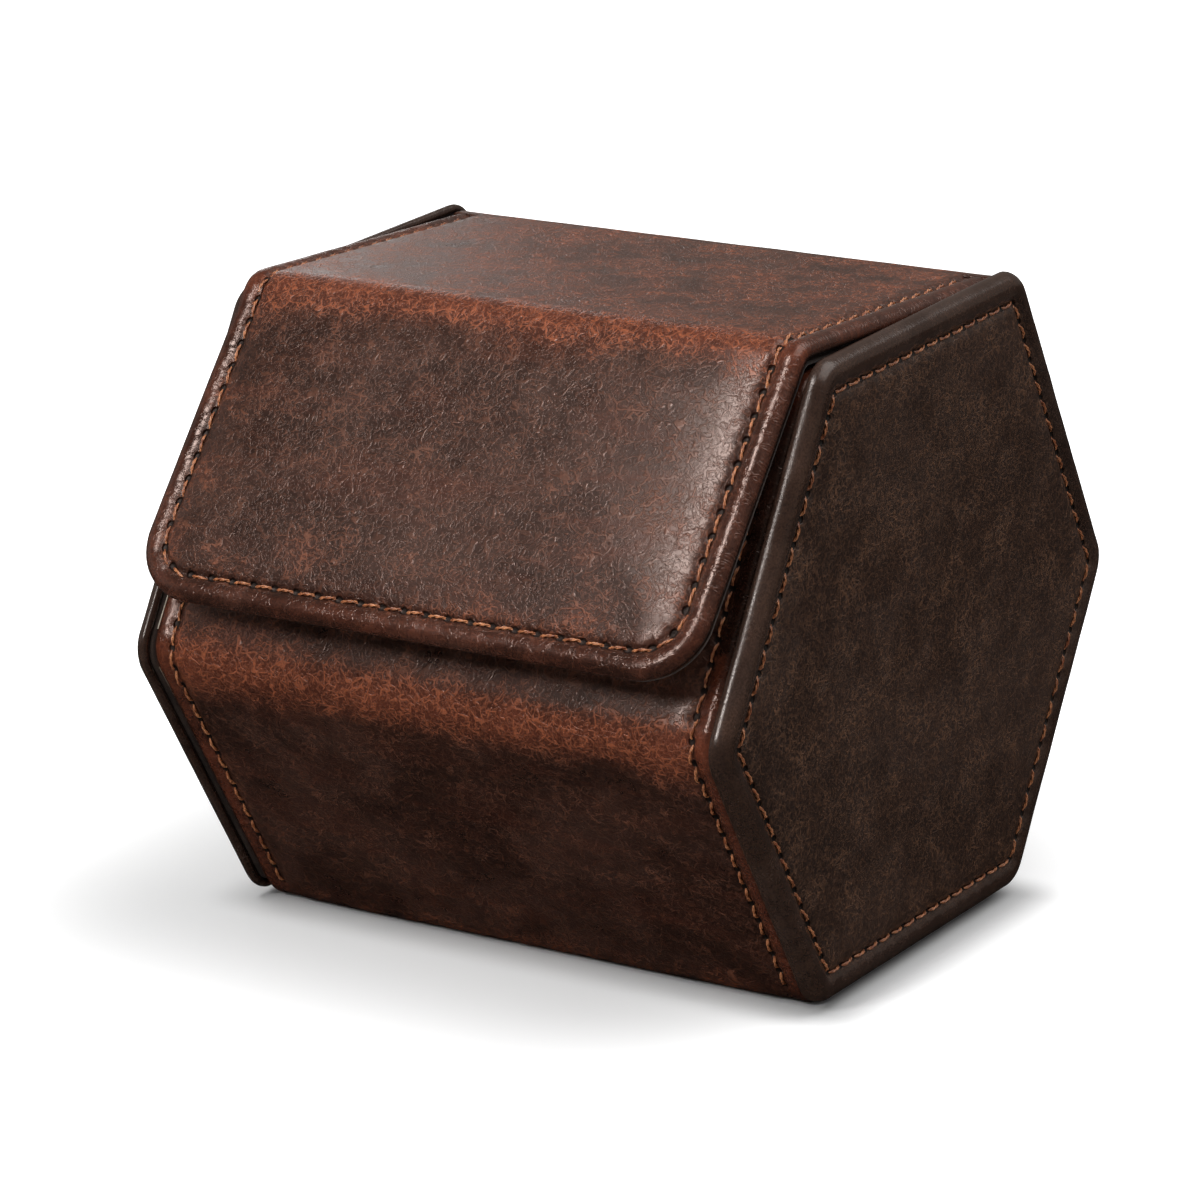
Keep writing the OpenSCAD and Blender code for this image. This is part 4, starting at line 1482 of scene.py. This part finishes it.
def nestPiping(pad):
    # a round velvet piping sewn on the cushion's face
    route = nestRoute()
    surface = BVHTree.FromObject(pad, bpy.context.evaluated_depsgraph_get())
    down = onCushion((0, 0, 0)) - onCushion((0, 0, 1))
    hits = [surface.ray_cast(onCushion((x, along, 12)) / perMetre, down)[0] for x, along in route]
    heights = smoothed(fromCushion(np.array(hits) * perMetre)[2], 12)
    points, naps = [], []
    for i, (x, along) in enumerate(route):
        run = unit(route[(i + 1) % len(route)] - route[i - 1])
        for turn in np.linspace(0, 2 * math.pi, cushion["pipingSides"] + 1)[:-1]:
            out, up = cushion["piping"] * math.cos(turn), cushion["piping"] * math.sin(turn)
            height = heights[i] + cushion["pipingUp"] + up
            points.append(onCushion((x + run[1] * out, along - run[0] * out, height)))
            # painted light: the piping's upper side lighter and its underside darker
            naps.append(0.25 + 0.45 * math.sin(turn))
    faces = tubeFaces(len(points), cushion["pipingSides"], closed=True)[1]
    return faceOut(makeMesh("nestPiping", points, faces, velvet, nap=naps))


def inflate(pad):
    # blown up with cloth, and no point pushed further than the cap
    start = np.array([v.co for v in pad.data.vertices])
    cloth = modify(pad, "CLOTH")
    cloth.settings.use_pressure = True
    cloth.settings.uniform_pressure_force = cushion["pressure"]
    cloth.settings.mass = cushion["mass"]
    cloth.settings.effector_weights.gravity = 0
    cloth.settings.quality = 5
    cloth.point_cache.frame_end = cushion["frames"]
    for step in range(1, cushion["frames"] + 1):
        scene.frame_set(step)
    applyAll(pad)
    scene.frame_set(1)
    moved = np.array([v.co for v in pad.data.vertices]) - start
    far = np.linalg.norm(moved, axis=1)
    moved *= np.minimum(1, cushion["cap"] / np.maximum(far, 1e-9))[:, None]
    pad.data.vertices.foreach_set("co", (start + moved).astype(np.float32).ravel())


def velvetCushion():
    build = bmesh.new()
    for node in ("cushion_base", "cushion_ring", "cushion_cover", "nest_cup"):
        build.from_mesh(frame["nodes"][node].data)
    bmesh.ops.remove_doubles(build, verts=build.verts, dist=1e-6)
    mesh = bpy.data.meshes.new("velvetCushion")
    build.to_mesh(mesh)
    build.free()
    pad = newObject("velvetCushion", mesh)
    modify(pad, "REMESH", mode="VOXEL", voxel_size=cushion["voxel"] / 2)
    applyAll(pad)
    modify(pad, "DISPLACE", strength=-cushion["shrink"], mid_level=0)
    modify(pad, "REMESH", mode="VOXEL", voxel_size=cushion["voxel"])
    modify(pad, "SMOOTH", iterations=3)
    applyAll(pad)
    inflate(pad)
    modify(pad, "SUBSURF", levels=1, render_levels=1)
    applyAll(pad)
    pad.data.materials.clear()
    pad.data.materials.append(velvet)
    pad.data.polygons.foreach_set("use_smooth", [True] * len(pad.data.polygons))
    return pad


pad = velvetCushion()
paintNestLightAndShade(pad)
piping = nestPiping(pad)
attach(piping, "case")
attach(pad, "case")
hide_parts("cushion_base", "cushion_ring", "cushion_cover", "nest_cup")
print("cushion made")


for word, finish in (("board", boardGrey), ("magnets", magnetSteel), ("foam", foamPale)):
    for name, node in frame["nodes"].items():
        if word in name:
            node.data.materials.clear()
            node.data.materials.append(finish)


photoCamera = {
    "lens": 152.69,
    "azimuth": 32.207,
    "height": 16.657,
    "roll": -0.773,
    "sideways": -4.483,
    "up": 41.389,
    "away": 714.685,
    "clip": 0.01,
}
studio = {
    # places and lengths in metres
    "floorSeen": srgb(235, 235, 235),
    "floorBounce": srgb(198, 195, 191),
    "floorMirrored": srgb(50, 49, 48),
    "floorReach": 4.0,
    # the floor's painted shadow round the box's foot, and the emission that whitens it further out
    "shadeCentre": (-0.018, -0.004, 0.0),
    "shadeHalf": (0.03, 0.024, 0.0),
    "glowReach": 0.08,
    "paintedShadowLevel": 0.16,
    "foot": (0.0455, 0.0262, 0.0),
    "contactShadowReach": 0.009,
    "roomLight": 0.16,
    "mirroredLight": (0.09, 0.2),
    "mirroredRoom": (1.0, 0.88, 0.8, 1.0),
    "aim": (0, 0, 0.045),
    # direction, distance, size and power
    "lamps": {
        "Key": ((-0.1, -0.54, 0.84), 0.9, (0.26, 0.2), 3.0),
        "Corner": ((-0.15, -0.82, 0.54), 0.9, (0.17, 0.2), 2.5),
        "Top": ((0.5, 0.35, 1.0), 1.3, (1.4, 1.1), 9.5),
        "BackLeft": ((-0.66, 0.7, 0.3), 1.0, (0.25, 0.2), 0.4),
        "Side": ((-1.0, -0.4, 0.3), 1.1, (0.9, 0.7), 0.5),
    },
}
white = (1, 1, 1, 1)


def placeCamera(settings):
    azimuth, height, roll = (math.radians(settings[k]) for k in ("azimuth", "height", "roll"))
    back = Vector((
        math.sin(azimuth) * math.cos(height), -math.cos(azimuth) * math.cos(height), math.sin(height)
    ))
    right = Vector((math.cos(azimuth), math.sin(azimuth), 0))
    up = back.cross(right)
    across = math.cos(roll) * right + math.sin(roll) * up
    upward = math.cos(roll) * up - math.sin(roll) * right
    camera = newObject("Camera", bpy.data.cameras.new("Camera"))
    camera.data.lens = settings["lens"]
    camera.data.clip_start = settings["clip"]
    spot = back * settings["away"] + across * settings["sideways"] + upward * settings["up"]
    turn = Matrix((across, upward, back)).transposed()
    camera.matrix_world = Matrix.Translation(spot * mm) @ turn.to_4x4()
    scene.camera = camera


def addSoftbox(name, direction, distance, size, power):
    lamp = bpy.data.lights.new(name, "AREA")
    lamp.shape = "RECTANGLE"
    lamp.size, lamp.size_y = size
    lamp.energy = power
    obj = newObject(name, lamp)
    toward = Vector(direction).normalized()
    obj.location = Vector(studio["aim"]) + toward * distance
    obj.rotation_mode = "QUATERNION"
    obj.rotation_quaternion = toward.to_track_quat("Z", "Y")
    obj.visible_camera = False


def makeFloor():
    # white where the camera looks at it, and a dim grey to everything else
    mesh = bpy.data.meshes.new("Floor")
    reach = studio["floorReach"]
    corners = [(-reach, -reach, 0), (reach, -reach, 0), (reach, reach, 0), (-reach, reach, 0)]
    mesh.from_pydata(corners, [], [(0, 1, 2, 3)])
    floor = newObject("Floor", mesh)
    material, tree, shader = newMaterial("Pale floor")
    seen = addNode(tree, "ShaderNodeLightPath").outputs
    dim = mixed(seen["Is Glossy Ray"], studio["floorBounce"], studio["floorMirrored"])
    tree.links.new(mixed(seen["Is Camera Ray"], dim, studio["floorSeen"]), shader.inputs["Base Color"])
    # painted shadow: the floor's emission, seen only by the camera, is low near the box's foot and rises to
    # white further out
    where = addNode(tree, "ShaderNodeTexCoord").outputs["Object"]

    def outside(centre, half):
        beyond = vectorCalc("ABSOLUTE", vectorCalc("SUBTRACT", where, centre))
        beyond = vectorCalc("MAXIMUM", vectorCalc("SUBTRACT", beyond, half), (0, 0, 0))
        return vectorCalc("LENGTH", beyond, output="Value")

    away = outside(studio["shadeCentre"], studio["shadeHalf"])
    paintedShadeAndGlow = rise(away, 0.0, studio["glowReach"], studio["paintedShadowLevel"], 1.0)
    # painted contact shadow: no emission right at the box's foot
    paintedShadeAndGlow = times(paintedShadeAndGlow, rise(outside((0, 0, 0), studio["foot"]), 0.0, studio["contactShadowReach"]))
    tree.links.new(times(paintedShadeAndGlow, seen["Is Camera Ray"]), shader.inputs["Emission Strength"])
    shader.inputs["Emission Color"].default_value = white
    shader.inputs["Roughness"].default_value = 1.0
    shader.inputs["Specular IOR Level"].default_value = 0.0
    mesh.materials.append(material)


def lightWorld():
    # a white backdrop behind and a dimmer room in front
    scene.world = bpy.data.worlds.new("Studio")
    scene.world.use_nodes = True
    tree = scene.world.node_tree
    backdrop = tree.nodes["Background"].inputs
    seen = addNode(tree, "ShaderNodeLightPath").outputs
    direct = calc("MAXIMUM", seen["Is Camera Ray"], seen["Is Transmission Ray"])
    where = addNode(tree, "ShaderNodeTexCoord").outputs["Generated"]
    behind = addNode(tree, "ShaderNodeSeparateXYZ", {0: where}).outputs[1]
    mirrored = rise(behind, -0.3, 0.5, *studio["mirroredLight"])

    def either(factor, first, second):
        return addNode(tree, "ShaderNodeMix", {0: factor, 2: first, 3: second}).outputs[0]

    strength = either(direct, either(seen["Is Glossy Ray"], studio["roomLight"], mirrored), 1.0)
    tree.links.new(strength, backdrop["Strength"])
    warm = mixed(seen["Is Glossy Ray"], white, studio["mirroredRoom"])
    tree.links.new(mixed(direct, warm, white), backdrop["Color"])


scene.view_settings.view_transform = "Standard"
placeCamera(photoCamera)
makeFloor()
lightWorld()
for name, lamp in studio["lamps"].items():
    addSoftbox(name, *lamp)
print("studio made")
